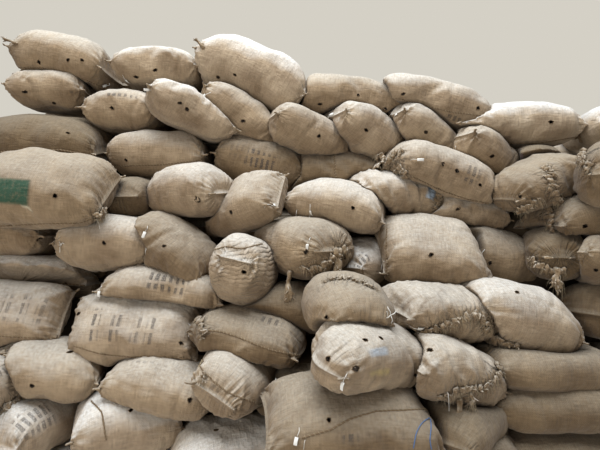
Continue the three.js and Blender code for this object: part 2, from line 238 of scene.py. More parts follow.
def insideOf(sack, points):
    # the superellipse of the section at each point: below 1 inside the sack's pillow, above 1 outside it
    local = (points - sack["centre"]) @ sack["turn"]
    s = local[..., 0] / sack["half"][0]
    lift = local[..., 2] + sack["droop"] * s * s
    width, thickness = profile(sack, s)
    power = 2 / form["section"]
    value = np.abs(local[..., 1] / width) ** power + np.abs(lift / thickness) ** power
    return np.where(np.abs(s) < 1, value, 9)


# the search for where two sacks meet: coarse steps, the halvings after them, and the gap that is left
contact = {"steps": np.linspace(0.2, 1, 17), "halvings": 9, "gap": 1.2, "least": 0.05, "reach": 1.15}


def pressed(points, centre, others):
    # the share of the way from a sack's middle to each point at which it meets another sack or the floor
    share = np.ones(len(points))
    below = points[:, 2] < 0
    share[below] = centre[2] / (centre[2] - points[below, 2])
    steps = contact["steps"]
    farthest = np.linalg.norm(points - centre, axis=1).max()
    for other in others:
        if np.linalg.norm(other["centre"] - centre) > other["reach"] + farthest:
            continue
        away = np.linalg.norm(points - other["centre"], axis=1)
        near = np.flatnonzero(away < other["reach"] * contact["reach"])
        if not len(near):
            continue
        ways = points[near] - centre
        met = insideOf(other, centre + ways[None] * steps[:, None, None]) < 1
        hit = met.any(axis=0)
        if not hit.any():
            continue
        near, ways = near[hit], ways[hit]
        first = met[:, hit].argmax(axis=0)
        high = steps[first]
        low = np.where(first > 0, steps[np.maximum(first - 1, 0)], contact["least"])
        for _ in range(contact["halvings"]):
            half = (low + high) / 2
            within = insideOf(other, centre + ways * half[:, None]) < 1
            high = np.where(within, half, high)
            low = np.where(within, low, half)
        share[near] = np.minimum(share[near], low - contact["gap"] / np.linalg.norm(ways, axis=1))
    return share


def gridNormals(points):
    # the cross product of the steps round and along a tube
    along = np.gradient(points, axis=0)
    across = np.roll(points, -1, 1) - np.roll(points, 1, 1)
    normals = np.cross(across, along)
    return normals / np.maximum(np.linalg.norm(normals, axis=2, keepdims=True), 1e-9)


def waves(points, rng, length, count=7):
    # a smooth random field: a sum of sines with random directions
    total = np.zeros(points.shape[:-1])
    for _ in range(count):
        way = rng.normal(size=3)
        way *= 2 * math.pi / (length * rng.uniform(0.7, 1.4) * np.linalg.norm(way))
        total += np.sin(points @ way + rng.uniform(0, 6.28))
    return total / math.sqrt(count)


def ridged(angle):
    # sharp folds with round backs
    return 1 - 2 * np.abs(np.sin(angle / 2)) ** 0.8


def pillow(sack, s, t):
    # a superellipse section whose half width and half thickness follow the length, with ends that droop
    half = sack["half"]
    width, thickness = profile(sack, s)
    across = signedPower(np.cos(t), form["section"])
    upward = signedPower(np.sin(t), form["section"])
    # corners stand out past the sewn end's middle, unless it is tied or round
    corner = np.sign(s) * np.abs(s) ** 9 * (1 - atEnd(sack["neck"], s)) * (np.abs(across) ** 3 - 0.55)
    corner = corner * form["corner"] * half[0] * (1 - sack["round"])
    # an end cut off at an angle, an end whose middle swells past its corners, and one that lies to a side
    skew = atEnd(sack["skew"], s) * np.abs(s) ** 2.5 * across
    bow = atEnd((-sack["bow"][0], sack["bow"][1]), s) * np.abs(s) ** 3 * (1 - across * across)
    lean = atEnd(sack["lean"], s) * np.abs(s) ** 3
    x = half[0] * s + corner + skew + bow
    y = width * across + lean
    z = thickness * upward - sack["droop"] * s * s
    return np.stack([x + 0 * t, y, z], axis=2), upward


# how far the cloth stands out from its pillow, in millimetres: lumps as their size and height, pleats and
# fans of folds at the sewn ends, and slack folds on the body
relief = {"lumps": ((330, 7), (130, 3.2)), "pleats": (17, 25), "pleatHeight": 5, "fanHeight": 11,
          "fanFolds": (6, 9), "slackFolds": (3, 9), "foldLength": (90, 260), "foldDepth": (4, 9),
          "foldWidth": 15, "sunk": 3}


def endRelief(sack, s, turn, local, upward, detail, rng, lift):
    # pleats that run in from a sewn end, ridges over the angle round it, and a fan of folds from each corner
    half = sack["half"]
    neck = atEnd(sack["neck"], s)
    nearEnd = smooth((np.abs(s) - 0.66) / 0.26) * (1 - 0.8 * smooth((np.abs(s) - 0.94) / 0.06))
    height = relief["pleatHeight"] + relief["pleatHeight"] * sack["slack"]
    for side in (-1, 1):
        pleats = rng.integers(*relief["pleats"])
        weight = nearEnd * (s * side > 0) * (1 + 0.9 * neck)
        wander = 0.5 * np.sin(3 * turn + rng.uniform(0, 6)) + 1.6 * s * np.sin(turn + rng.uniform(0, 6))
        patchy = 0.55 + 0.45 * np.sin(2 * turn + rng.uniform(0, 6)) * np.sin(5 * turn + rng.uniform(0, 6))
        lift = lift + weight * patchy * height * ridged(pleats * turn + wander)
        for edge in (-1, 1):
            for face in (-1, 1):
                dx = (local[..., 0] - side * half[0]) / 1000
                dy = (local[..., 1] - edge * half[1] * 0.86) / 1000
                away = np.hypot(dx, dy)
                angle = np.arctan2(dy * edge, -dx * side)
                fan = np.exp(-away / 0.16) * smooth(away / 0.05) * (np.sign(upward) == face) * (1 - neck)
                folds = ridged(rng.uniform(*relief["fanFolds"]) * angle + rng.uniform(0, 6))
                lift = lift + fan * relief["fanHeight"] * folds * detail
    return lift


def slackRelief(sack, run, arc, rng, lift):
    # grooves between two low swells, each straight on the flat cloth but for a slow sway
    girth = arc[-1]
    flat = np.stack(np.broadcast_arrays(run[:, None], arc[:-1][None]), axis=2)
    least, more = relief["slackFolds"]
    for _ in range(int(least + more * sack["slack"])):
        at = np.array([rng.uniform(-0.75, 0.75) * sack["half"][0], rng.uniform(0, girth)])
        way = rng.uniform(-0.6, 0.6) + (math.pi / 2 if rng.random() < 0.6 else 0)
        size = rng.uniform(*relief["foldLength"])
        deep = rng.uniform(*relief["foldDepth"]) * (0.5 + sack["slack"])
        off = flat - at
        off[..., 1] = (off[..., 1] + girth / 2) % girth - girth / 2
        along = off[..., 0] * math.cos(way) + off[..., 1] * math.sin(way)
        across = -off[..., 0] * math.sin(way) + off[..., 1] * math.cos(way) + 18 * np.sin(along / 70)
        bend = bell(across, relief["foldWidth"]) - 0.55 * bell(across - 32, 22) - 0.4 * bell(across + 30, 22)
        lift = lift - deep * bend * np.exp(-(along / size) ** 4)
    return lift


def sackSurface(sack, count, others, detail=1.0):
    # the pillow, flattened where it meets other sacks, and raised along its normals by the relief
    rng = np.random.default_rng(sack["seed"])
    rings, columns = count
    u = np.linspace(-1, 1, rings)
    s = (u * (1.42 - 0.42 * u * u))[:, None]
    local, upward = pillow(sack, s, around(columns)[None])
    # the arc round the widest ring, which the weave follows, and the run along the sack from its middle
    ring = local[rings // 2]
    arc = distances(np.vstack([ring, ring[:1]]))
    lengths = np.linalg.norm(np.diff(local, axis=0), axis=2).mean(axis=1)
    run = np.concatenate([[0], np.cumsum(lengths)]) - lengths.sum() / 2
    points = sack["centre"] + local @ sack["turn"].T
    met = pressed(points.reshape(-1, 3), sack["centre"], others).reshape(rings, columns)
    share = met
    for _ in range(5):
        beside = np.roll(share, 1, 1) + np.roll(share, -1, 1)
        beside = beside + np.vstack([share[:1], share[:-1]]) + np.vstack([share[1:], share[-1:]])
        share = np.minimum((share * 2 + beside) / 6, met)
    points = sack["centre"] + (points - sack["centre"]) * share[..., None]
    free = smooth((share - 0.93) / 0.07)
    turn = arc[:-1][None] / arc[-1] * 2 * math.pi
    (long, high), (short, low) = relief["lumps"]
    lift = high * waves(points, rng, long) + low * waves(points, rng, short)
    lift = endRelief(sack, s, turn, local, upward, detail, rng, lift)
    lift = slackRelief(sack, run, arc, rng, lift)
    phase, phaseDepth = np.zeros((rings, columns)), np.zeros((rings, columns))
    for way, length, deep in sack["folds"]:
        level = points @ (np.array(way, float) / np.linalg.norm(way))
        phase = level * 2 * math.pi / length + 1.3 * waves(points, rng, 260)
        phaseDepth = deep * np.clip(0.6 + 0.4 * waves(points, rng, 180), 0, 1.4)
        if length > 60:  # wide folds are form, fine ones bump
            lift = lift + phaseDepth * ridged(phase)
            phaseDepth = 0 * phaseDepth
    lift = lift * (0.25 + 0.75 * free) - relief["sunk"]
    fade = 1 - smooth((np.abs(s) - 0.97) / 0.03) * (1 - atEnd(sack["neck"], s))
    points = points + gridNormals(points) * (lift * fade)[..., None]
    points[..., 2] = np.maximum(points[..., 2], 0)
    gather = smooth((np.abs(s) - 0.55) / 0.4) * (0.35 + 0.5 * sack["slack"]) + 0 * free
    fields = {"free": free, "gather": gather, "phase": phase, "phaseDepth": phaseDepth,
              "ruff": 0 * free, "ruffDepth": 0 * free}
    return {"points": points, "run": run, "arc": arc, "s": s[:, 0], "free": free, "fields": fields}


def tubeQuads(rings, columns):
    # the ring and column of each quad of a tube, and its four corners
    i, j = np.meshgrid(np.arange(rings - 1), np.arange(columns), indexing="ij")
    right = (j + 1) % columns
    corners = (i * columns + j, i * columns + right, (i + 1) * columns + right, (i + 1) * columns + j)
    return i, j, np.stack(corners, axis=-1).reshape(-1, 4)


def tubeUv(us, vs, i, j):
    # metres along and round the cloth at each quad's corners
    corners = ((i, j), (i, j + 1), (i + 1, j + 1), (i + 1, j))
    uv = [np.stack([us[row], vs[column]], axis=-1) for row, column in corners]
    return np.stack(uv, axis=-2).reshape(-1, 4, 2)


def endStrips(rings, columns):
    # strips from the upper edge to the lower one, which close a tube's two flat ends
    last = (rings - 1) * columns
    strips = []
    for k in range(columns // 2):
        strip = list(dict.fromkeys((k, (columns - k) % columns, (columns - k - 1) % columns, k + 1)))
        strips += [strip, [last + corner for corner in strip[::-1]]]
    return strips


def gridPart(surface, sack, tone, paint=None, ink=None):
    # the cloth of a sack, with a flap of doubled cloth past each sewn end
    points, run = surface["points"], surface["run"]
    columns = points.shape[1]
    wave = np.sin(around(columns) * 3 + sack["seed"]) * 3
    upward = sack["turn"] @ np.array([0, 0, 1]) * wave[:, None]
    flaps = []
    for end, side in ((0, -1), (-1, 1)):
        out = sack["turn"] @ np.array([side, 0, 0])
        reach = (1 - sack["neck"][end]) * (1 - 0.75 * sack["round"])
        flaps.append(points[end] + (out * form["flap"] + upward) * reach)
    points = np.concatenate([flaps[0][None], points, flaps[1][None]])
    rings = len(points)
    us = np.array([run[0] - form["flap"], *run, run[-1] + form["flap"]]) / 1000
    i, j, quads = tubeQuads(rings, columns)
    fields = dict(surface["fields"])
    fields["ink"] = np.zeros((rings - 2, columns)) if ink is None else ink
    fields["paint"] = np.zeros((rings - 2, columns, 4)) if paint is None else paint
    fields = {key: np.concatenate([field[:1], field, field[-1:]]) for key, field in fields.items()}
    paint = fields.pop("paint").reshape(-1, 4)
    fields = {key: field.reshape(-1) for key, field in fields.items()}
    fields["tone"] = np.full(rings * columns, tone)
    return {"points": points.reshape(-1, 3), "quads": quads, "uv": tubeUv(us, surface["arc"] / 1000, i, j),
            "extra": endStrips(rings, columns), "slot": slots["jute"], "paint": paint, "fields": fields}


def looseGrid(points, finish, tone=0.5, capEnds=True):
    # a grid of points as a tube, with flat ends
    rows, columns = points.shape[:2]
    count = rows * columns
    i, j, quads = tubeQuads(rows, columns)
    us = distances(points.mean(axis=1)) / 1000
    vs = np.linspace(0, 1, columns + 1) * 0.04
    ends = [list(range(columns))[::-1], list(range(count - columns, count))] if capEnds else []
    fields = {"tone": np.broadcast_to(tone, (rows, columns)).reshape(-1), "free": np.ones(count)}
    return {"points": points.reshape(-1, 3), "quads": quads, "uv": tubeUv(us, vs, i, j), "extra": ends,
            "slot": slots[finish], "paint": np.zeros((count, 4)), "fields": fields}


# what each point of the cloth carries for the material: how pale it is, painted shade included in places, how
# free of its neighbours, which also sets the painted shade where sacks touch, how much print, and the size of
# the gathers at the sewn ends, of fine folds and of those that run to a torn mouth
fieldNames = ("tone", "free", "ink", "gather", "phase", "phaseDepth", "ruff", "ruffDepth")


def makeObject(name, parts):
    # one mesh: the points of all parts end to end, their quads, and the faces that close their ends
    loops, starts, uvs, finishOf = [], [], [], []
    pointBase, loopBase = 0, 0
    for part in parts:
        uv = part["uv"].reshape(-1, 2)
        faces = [(part["quads"].ravel(), uv, 4)]
        faces += [(np.array(face), np.zeros((len(face), 2)) + uv[0], len(face)) for face in part["extra"]]
        for corners, places, sides in faces:
            loops.append(corners + pointBase)
            uvs.append(places)
            starts.append(loopBase + np.arange(0, len(corners), sides))
            finishOf.append(np.full(len(corners) // sides, part["slot"]))
            loopBase += len(corners)
        pointBase += len(part["points"])
    points = np.concatenate([part["points"] / 1000 for part in parts])
    paints = np.concatenate([part["paint"] for part in parts])
    loops, starts, uvs, finishOf = map(np.concatenate, (loops, starts, uvs, finishOf))
    mesh = bpy.data.meshes.new(name)
    mesh.vertices.add(len(points))
    mesh.vertices.foreach_set("co", points.ravel())
    mesh.loops.add(len(loops))
    mesh.loops.foreach_set("vertex_index", loops.astype(np.int32))
    mesh.polygons.add(len(starts))
    mesh.polygons.foreach_set("loop_start", starts.astype(np.int32))
    mesh.polygons.foreach_set("material_index", finishOf.astype(np.int32))
    mesh.update(calc_edges=True)
    mesh.uv_layers.new(name="UVMap").data.foreach_set("uv", uvs.ravel())
    mesh.attributes.new("paint", "FLOAT_COLOR", "POINT").data.foreach_set("color", paints.ravel())
    for key in fieldNames:
        values = [part["fields"].get(key, np.zeros(len(part["points"]))) for part in parts]
        mesh.attributes.new(key, "FLOAT", "POINT").data.foreach_set("value", np.concatenate(values))
    mesh.polygons.foreach_set("use_smooth", np.ones(len(starts), bool))
    mesh.validate()
    for material in finishes.values():
        mesh.materials.append(material)
    made = bpy.data.objects.new(name, mesh)
    bpy.context.scene.collection.objects.link(made)
    return made


def node(tree, kind, links=None, **settings):
    # a shader node with its settings and with what feeds its sockets
    made = tree.nodes.new(kind)
    for key, value in settings.items():
        setattr(made, key, value)
    for key, value in (links or {}).items():
        feed(tree, made.inputs[key], value)
    return made


def feed(tree, socket, value):
    # a link where the value comes from another node, else a plain value
    if isinstance(value, bpy.types.NodeSocket):
        tree.links.new(value, socket)
    else:
        socket.default_value = value


def maths(tree, operation, a, b=0.0, c=0.0):
    # one sum on up to three values
    return node(tree, "ShaderNodeMath", {0: a, 1: b, 2: c}, operation=operation).outputs[0]


def times(tree, a, b):
    return maths(tree, "MULTIPLY", a, b)


def scaled(tree, a, slope, start):
    # a times the slope, plus the start
    return maths(tree, "MULTIPLY_ADD", a, slope, start)


def mixed(tree, share, a, b, blend="MIX"):
    # colour a, with a share of colour b over it
    made = node(tree, "ShaderNodeMix", data_type="RGBA", blend_type=blend)
    for socket, value in ((0, share), (6, a), (7, b)):
        feed(tree, made.inputs[socket], value)
    return made.outputs[2]


def noise(tree, place, scale, detail, rough=0.5, distorted=0.0):
    sockets = {"Vector": place, "Scale": scale, "Detail": detail, "Roughness": rough, "Distortion": distorted}
    return node(tree, "ShaderNodeTexNoise", sockets).outputs["Fac"]


def spread(tree, value, low, high, start=0.0, end=1.0):
    # the range from low to high, stretched to run from start to end and held there
    return node(tree, "ShaderNodeMapRange", {0: value, 1: low, 2: high, 3: start, 4: end}).outputs[0]


def stretched(tree, place, scale):
    # a place multiplied axis by axis, which makes a pattern finer or longer
    return node(tree, "ShaderNodeVectorMath", {0: place, 1: scale}, operation="MULTIPLY").outputs[0]


def oneOf(tree, vector, axis):
    return node(tree, "ShaderNodeSeparateXYZ", {0: vector}).outputs[axis]


def bumped(tree, height, strength, distance, before=None):
    # the normal after a bump, on top of the one before
    made = node(tree, "ShaderNodeBump", {"Height": height, "Strength": strength, "Distance": distance})
    if before is not None:
        feed(tree, made.inputs["Normal"], before)
    return made.outputs[0]


def attribute(tree, name):
    # what the mesh carries under this name
    return node(tree, "ShaderNodeAttribute", attribute_name=name).outputs["Fac"]


def ridge(tree, phase):
    # sharp valleys between round backs, from -1 to 1
    wave = maths(tree, "ABSOLUTE", maths(tree, "SINE", times(tree, phase, 0.5)))
    return scaled(tree, maths(tree, "POWER", wave, 0.7), 2.0, -1.0)


def newGroup(name, inputs, outputs):
    # a node group with these sockets, and what its input node gives and its output node takes
    tree = bpy.data.node_groups.new(name, "ShaderNodeTree")
    for way, sockets in (("INPUT", inputs), ("OUTPUT", outputs)):
        for socket, kind in sockets.items():
            tree.interface.new_socket(socket, in_out=way, socket_type="NodeSocket" + kind)
    return tree, node(tree, "NodeGroupInput").outputs, node(tree, "NodeGroupOutput").inputs


# the weave: how fine and how strong its threads sway, and how fine the slubs are across a thread and along it
threads = {"wander": 26.0, "sway": 1.6, "across": 230.0, "along": 12.0}


def weaveGroup():
    # plain weave: the threads of one way pass over and under those of the other, with slubs along each
    inputs = {"Vector": "Vector", "Pitch": "Float"}
    tree, source, sink = newGroup("weave", inputs, {"Height": "Float", "Streak": "Float"})
    wander = noise(tree, source["Vector"], threads["wander"], 2.0)
    fine, long = threads["across"], threads["along"]
    sines, streaks = [], []
    for axis, scale in ((0, (fine, long, 1.0)), (1, (long, fine, 1.0))):
        along = maths(tree, "DIVIDE", oneOf(tree, source["Vector"], axis), source["Pitch"])
        bent = scaled(tree, wander, threads["sway"], along)
        sines.append(maths(tree, "SINE", times(tree, bent, math.pi)))
        streaks.append(noise(tree, stretched(tree, source["Vector"], scale), 1.0, 2.0))
    feed(tree, sink["Height"], scaled(tree, times(tree, *sines), 0.5, 0.5))
    feed(tree, sink["Streak"], times(tree, maths(tree, "ADD", *streaks), 0.5))
    return tree


# the print: how fine its wear and its unevenness are, how ragged its edges, and the least gap and its growth
# between bars and between rows, as shares of their pitch
stencil = {"worn": 150.0, "uneven": 8.0, "ragged": 0.16, "barGap": (0.2, 0.56), "rowGap": (0.14, 0.2)}


def stencilGroup():
    # rows of plain printed bars, uneven in width and broken where the ink has worn off
    inputs = {"Vector": "Vector", "Bar": "Float", "Row": "Float"}
    tree, source, sink = newGroup("stencil", inputs, {"Mask": "Float"})
    worn = noise(tree, source["Vector"], stencil["worn"], 3.0)
    uneven = noise(tree, source["Vector"], stencil["uneven"], 0.0)
    masks = []
    for axis, pitch, (least, growth) in ((0, "Bar", stencil["barGap"]), (1, "Row", stencil["rowGap"])):
        place = maths(tree, "DIVIDE", oneOf(tree, source["Vector"], axis), source[pitch])
        place = maths(tree, "FRACT", scaled(tree, worn, stencil["ragged"], place))
        masks.append(maths(tree, "GREATER_THAN", place, scaled(tree, uneven, growth, least)))
    feed(tree, sink["Mask"], times(tree, times(tree, *masks), spread(tree, worn, 0.38, 0.52, 0.15, 1.0)))
    return tree


# the cloth's colours: two browns in blotches, dust and painted top light, painted shade where sacks touch,
# and ink, how much more red, green and blue a bleached sack has, the heights between which the dust and
# painted top light grow thicker, and the pitches of the print; then its relief: the weave's pitch, crumples,
# wrinkles along and across, gathers and fine folds; then its shine
cloth = {"light": (0.348, 0.262, 0.171, 1), "dark": (0.168, 0.114, 0.067, 1), "blotches": 3.2,
         "dustAndTopLight": (0.545, 0.525, 0.48, 1), "mostDustAndTopLight": 0.95, "specks": 55.0, "contactShadeColour": (0.035, 0.025, 0.016, 1),
         "contactShade": 0.55, "ink": (0.045, 0.04, 0.04, 1), "mostInk": 0.9, "tint": (-0.05, 0.08, 0.3),
         "dustAndTopLightHeights": (2.35, 2.95), "bar": 0.042, "row": 0.1,
         "pitch": 0.0065, "weaveDepth": 0.0015, "crumples": 16.0, "crumpleDepth": 0.02,
         "wrinkles": ((9.0, 44.0, 1.0), (40.0, 8.0, 1.0)), "wrinkleDepth": 0.012, "gatherWidth": 0.04,
         "gatherDepth": 0.0042, "foldDepth": 0.001, "warp": 16.0,
         "roughness": 0.95, "specular": 0.15, "sheen": 0.12, "sheenRoughness": 0.6}


def newMaterial(name, roughness, specular):
    # a material, its tree, its shader's sockets, and the places that patterns read
    material = bpy.data.materials.new(name)
    material.use_nodes = True
    tree = material.node_tree
    shader = tree.nodes["Principled BSDF"].inputs
    feed(tree, shader["Roughness"], roughness)
    feed(tree, shader["Specular IOR Level"], specular)
    return material, tree, shader, node(tree, "ShaderNodeTexCoord").outputs


def clothColour(tree, look, place, woven, bars):
    # blotches of two browns, under dust and painted top light, then the weave's shade, painted shade in the
    # gaps where sacks touch, stains and print
    tone = attribute(tree, "tone")
    blotch = noise(tree, place["Object"], look["blotches"], 6.0, 0.62)
    speck = noise(tree, place["Object"], look["specks"], 3.0)
    base = mixed(tree, spread(tree, blotch, 0.32, 0.68), look["dark"], look["light"])
    # dust and painted highlight on what faces up: paler, cooler cloth on the tops, most of it on the highest
    # sacks and on pale ones
    facing = oneOf(tree, node(tree, "ShaderNodeNewGeometry").outputs["Normal"], 2)
    dustAndTopLightShare = spread(tree, facing, 0.1, 0.95, 0.0, 0.8)
    dustAndTopLightShare = times(tree, dustAndTopLightShare, spread(tree, speck, 0.3, 0.7, 0.6, 1.1))
    thicker = spread(tree, oneOf(tree, place["Object"], 2), *look["dustAndTopLightHeights"], 0.97, 1.35)
    thicker = times(tree, thicker, scaled(tree, tone, 0.4, 0.72))
    dustAndTopLightShare = maths(tree, "MINIMUM", times(tree, dustAndTopLightShare, thicker), look["mostDustAndTopLight"])
    base = mixed(tree, dustAndTopLightShare, base, look["dustAndTopLight"])
    shade = scaled(tree, woven["Streak"], 1.45, scaled(tree, woven["Height"], 0.22, 0.16))
    shade = times(tree, shade, scaled(tree, tone, 0.85, 0.55))
    # a dark sack is browner than a bleached one, and so is one darkened as painted shade
    paleness = maths(tree, "SUBTRACT", tone, 0.6)
    tinted = [times(tree, shade, scaled(tree, paleness, slope, 1.0)) for slope in look["tint"]]
    shadeColour = node(tree, "ShaderNodeCombineColor", dict(enumerate(tinted))).outputs[0]
    base = mixed(tree, 1.0, base, shadeColour, "MULTIPLY")
    # painted shade: the cloth darkens where a sack is pressed against another, in the gaps between them
    contactShade = times(tree, maths(tree, "SUBTRACT", 1.0, attribute(tree, "free")), look["contactShade"])
    base = mixed(tree, contactShade, base, look["contactShadeColour"])
    # stains and ink, worn through where the cloth is rubbed
    paint = node(tree, "ShaderNodeAttribute", attribute_name="paint").outputs
    dye = mixed(tree, 0.35, paint["Color"], shadeColour, "MULTIPLY")
    worn = spread(tree, speck, 0.3, 0.5, 0.72, 1.0)
    base = mixed(tree, times(tree, paint["Alpha"], worn), base, dye)
    inked = maths(tree, "MINIMUM", times(tree, attribute(tree, "ink"), 1.35), look["mostInk"])
    return mixed(tree, times(tree, bars["Mask"], inked), base, look["ink"])


def clothBump(tree, look, place, woven):
    # crumples, fine wrinkles along and across, three kinds of gathers and folds, and the weave on top
    crumple = noise(tree, place["Object"], look["crumples"], 5.0, 0.6)
    normal = bumped(tree, crumple, 0.6, look["crumpleDepth"])
    for scale in look["wrinkles"]:
        wrinkle = noise(tree, stretched(tree, place["UV"], scale), 1.0, 3.0, distorted=0.6)
        normal = bumped(tree, wrinkle, 0.5, look["wrinkleDepth"], normal)
    warp = times(tree, noise(tree, place["UV"], 7.0, 2.0), look["warp"])
    patchy = spread(tree, noise(tree, place["Object"], 6.5, 1.0), 0.42, 0.62)
    pleats = times(tree, oneOf(tree, place["UV"], 1), 2 * math.pi / look["gatherWidth"])
    gathered = times(tree, attribute(tree, "gather"), patchy)
    folds = ((pleats, gathered, look["gatherDepth"]),
             (attribute(tree, "phase"), attribute(tree, "phaseDepth"), look["foldDepth"]),
             (attribute(tree, "ruff"), attribute(tree, "ruffDepth"), look["foldDepth"]))
    for phase, depth, size in folds:
        height = times(tree, ridge(tree, maths(tree, "ADD", phase, warp)), depth)
        normal = bumped(tree, height, 1.0, size, normal)
    return bumped(tree, woven["Height"], 0.5, look["weaveDepth"], normal)


def clothMaterial(name, look):
    # woven jute: the cloth's colour and its bumps over one weave
    material, tree, shader, place = newMaterial(name, look["roughness"], look["specular"])
    sockets = {"Vector": place["UV"], "Pitch": look["pitch"]}
    woven = node(tree, "ShaderNodeGroup", sockets, node_tree=weaveGroup())
    sockets = {"Vector": place["UV"], "Bar": look["bar"], "Row": look["row"]}
    bars = node(tree, "ShaderNodeGroup", sockets, node_tree=stencilGroup())
    feed(tree, shader["Base Color"], clothColour(tree, look, place, woven.outputs, bars.outputs))
    feed(tree, shader["Normal"], clothBump(tree, look, place, woven.outputs))
    feed(tree, shader["Sheen Weight"], look["sheen"])
    feed(tree, shader["Sheen Roughness"], look["sheenRoughness"])
    return material


plainSpecular = 0.2


def plainMaterial(name, colour, roughness, variation, scale):
    # one colour, darker by the variation in patches
    material, tree, shader, place = newMaterial(name, roughness, plainSpecular)
    darker = tuple(value * (1 - variation) for value in colour)
    patches = noise(tree, place["Object"], scale, 4.0)
    feed(tree, shader["Base Color"], mixed(tree, patches, (*darker, 1), (*colour, 1)))
    return material


# the plain finishes: colour, roughness, how much darker its patches are, and their fineness
plainLooks = {
    # the seams' cloth, also used on the rims of holes, is darker than the sacks': painted shade along the
    # seam's line and round the holes
    "seam_jute": ((0.215, 0.15, 0.092), 0.95, 0.5, 180.0), "twine": ((0.50, 0.41, 0.28), 0.9, 0.4, 200.0),
    # the near-black of a hole's disc is painted shade for its hollow
    "paper": ((0.80, 0.79, 0.76), 0.7, 0.08, 40.0), "hole": ((0.035, 0.025, 0.018), 1.0, 0.6, 150.0),
    # the core blocks' near-black jute is painted shade
    "blue_string": ((0.10, 0.20, 0.42), 0.6, 0.2, 100.0), "dark_jute": ((0.09, 0.068, 0.045), 1.0, 0.5, 30.0),
}
finishes = {"jute": clothMaterial("jute", cloth)}
for name, look in plainLooks.items():
    finishes[name] = plainMaterial(name, *look)
slots = {name: index for index, name in enumerate(finishes)}
report("materials")

# how each sack in front differs from one like most
looks = {
    "row1_1": {"round": 0.5}, "row1_2": {"round": 0.7}, "row1_3": {"round": 0.7},
    "row2_1": {"slack": 0.8, "round": 0.6}, "row2_2": {"round": 0.8}, "row2_3": {"round": 0.85},
    "row2_4": {"slack": 0.6, "round": 0.9, "ends": (0.6, 0.6)},
    "row3_3": {"neck": (0.5, 0), "slack": 0.6, "round": 0.7, "bow": (0, 50)},
    "row3_4": {"ends": (0.58, 0.5), "slack": 0.45, "round": 0.6, "bow": (100, 0), "lean": (-50, 0),
               "skew": (40, 0)},
    "row3_5": {"slack": 0.4, "round": 0.6, "folds": [((1, 0, 0.75), 90, 13)]}, "row4_2": {"round": 0.4},
    "row4_3": {"ends": (0.6, 0.6), "slack": 0.5, "round": 0.75},
    "row4_4": {"slack": 0.5, "round": 0.6, "folds": [((1, 0, 0.35), 62, 7)]},
    "row4_5": {"round": 0.7, "slack": 0.5}, "row5_2": {"slack": 0.9, "round": 0.5},
    "row5_3": {"round": 0.9, "slack": 0.5},
    "row5_4": {"ends": (0.5, 0.5), "slack": 0.5, "round": 1.0, "folds": [((0, 0, 1), 30, 5)]},
    "row5_5": {"slack": 0.7, "round": 0.7, "ends": (0.3, 0.3)}, "row5_6": {"round": 0.7},
    "row5_7": {"skew": (-60, -85), "ends": (0.85, 0.8)},
    "row5_9": {"slack": 0.6, "round": 0.8, "ends": (0.2, 0.2)},
    "row6_1": {"round": 0.6, "ends": (0.8, 0.7)}, "row6_2": {"round": 0.6, "ends": (0.7, 0.35)},
    "row6_3": {"ends": (0.8, 0.7), "round": 0.8},
    "row6_5": {"slack": 1.0, "folds": [((1, 0, 0.5), 85, 15)]}, "row6_7": {"slack": 0.9},
    "row6_8": {"slack": 0.8, "round": 0.6, "ends": (0.4, 0.8), "folds": [((1, 0, 0.8), 110, 7)]},
    "row6_9": {"slack": 1.0, "round": 0.8}, "row7_4": {"slack": 0.7},
    "row7_5": {"neck": (0.5, 0), "slack": 0.5}, "row8_2": {"round": 0.4}, "row8_3": {"round": 0.6},
    "row8_4": {"round": 0.5}, "row8_5": {"round": 0.5}, "row8_6": {"round": 0.5}, "row8_7": {"round": 0.5},
    "row8_8": {"round": 0.5}, "row8_9": {"round": 0.8}, "row9_1": {"round": 0.2}, "row9_2": {"round": 0.6},
    "row9_3": {"round": 0.15, "ends": (0.75, 0.85)}, "row9_5": {"neck": (0.45, 0)},
    "row9_6": {"neck": (0, 0.45), "ends": (0.85, 0.8)}, "row9_7": {"round": 0.6},
}
# how pale a sack's cloth is, from dark brown to bleached: for each row, and for sacks that differ from
# theirs; partly the cloth's own colour and partly painted shade, lower on the sacks at the right, which lie
# in shade
tonesWithShade = {
    "row1": 0.95, "row2": 0.7, "row3": 0.75, "row4": 0.7, "row5": 0.65, "row6": 0.75, "row7": 0.6,
    "row8": 0.55, "row9": 0.75, "row1_2": 1.05, "row1_3": 0.9, "row2_2": 0.55, "row2_3": 0.55,
    "row2_4": 0.6, "row2_5": 0.2, "row3_3": 0.2, "row3_4": 0.65, "row3_5": 0.6, "row4_1": 1.1,
    "row4_2": 0.55, "row4_3": 0.25, "row4_4": 0.6, "row4_5": 0.8, "row4_6": -0.05, "row5_1": 0.45,
    "row5_3": 0.22, "row5_4": 0.75, "row5_5": 0.35, "row5_6": 1.0, "row5_7": 0.55, "row5_8": 0.3,
    "row5_9": -0.1, "row5_10": 0.2, "row6_1": 0.3, "row6_3": 0.55, "row6_7": 0.15, "row6_8": 0.2,
    "row6_9": 0.1, "row7_1": -0.15, "row7_3": 0.2, "row7_4": 0.05, "row7_5": 0.6, "row8_3": 0.9,
    "row8_6": 0.75, "row8_7": 0.75, "row8_9": -0.1, "row9_1": 0.45, "row9_2": 0.7, "row9_3": 0.95,
    "row9_4": 0.45, "row9_5": 0.7, "row9_6": 1.1, "row9_7": 1.1,
}
front = {}
for index, (name, (pixel, away, size, turn, droop)) in enumerate(sacks.items()):
    front[name] = makeSack(name, seenPoint(pixel, away), size, turn, droop, index + 11, **looks.get(name, {}))
placed = []
for sack in front.values():
    sack["surface"] = sackSurface(sack, density["front"], placed)
    placed.append(sack)
report("front surfaces")

# the cloth grows a little past its shape, against the places where it is held, and blows out until it buckles
slackening = {"frames": 16, "grow": 0.05, "pressure": 2.5, "stiff": 12.0, "bend": 0.35, "mass": 0.25,
              "damping": 3, "quality": 4, "out": 22.0, "inward": 34.0, "slide": 20}


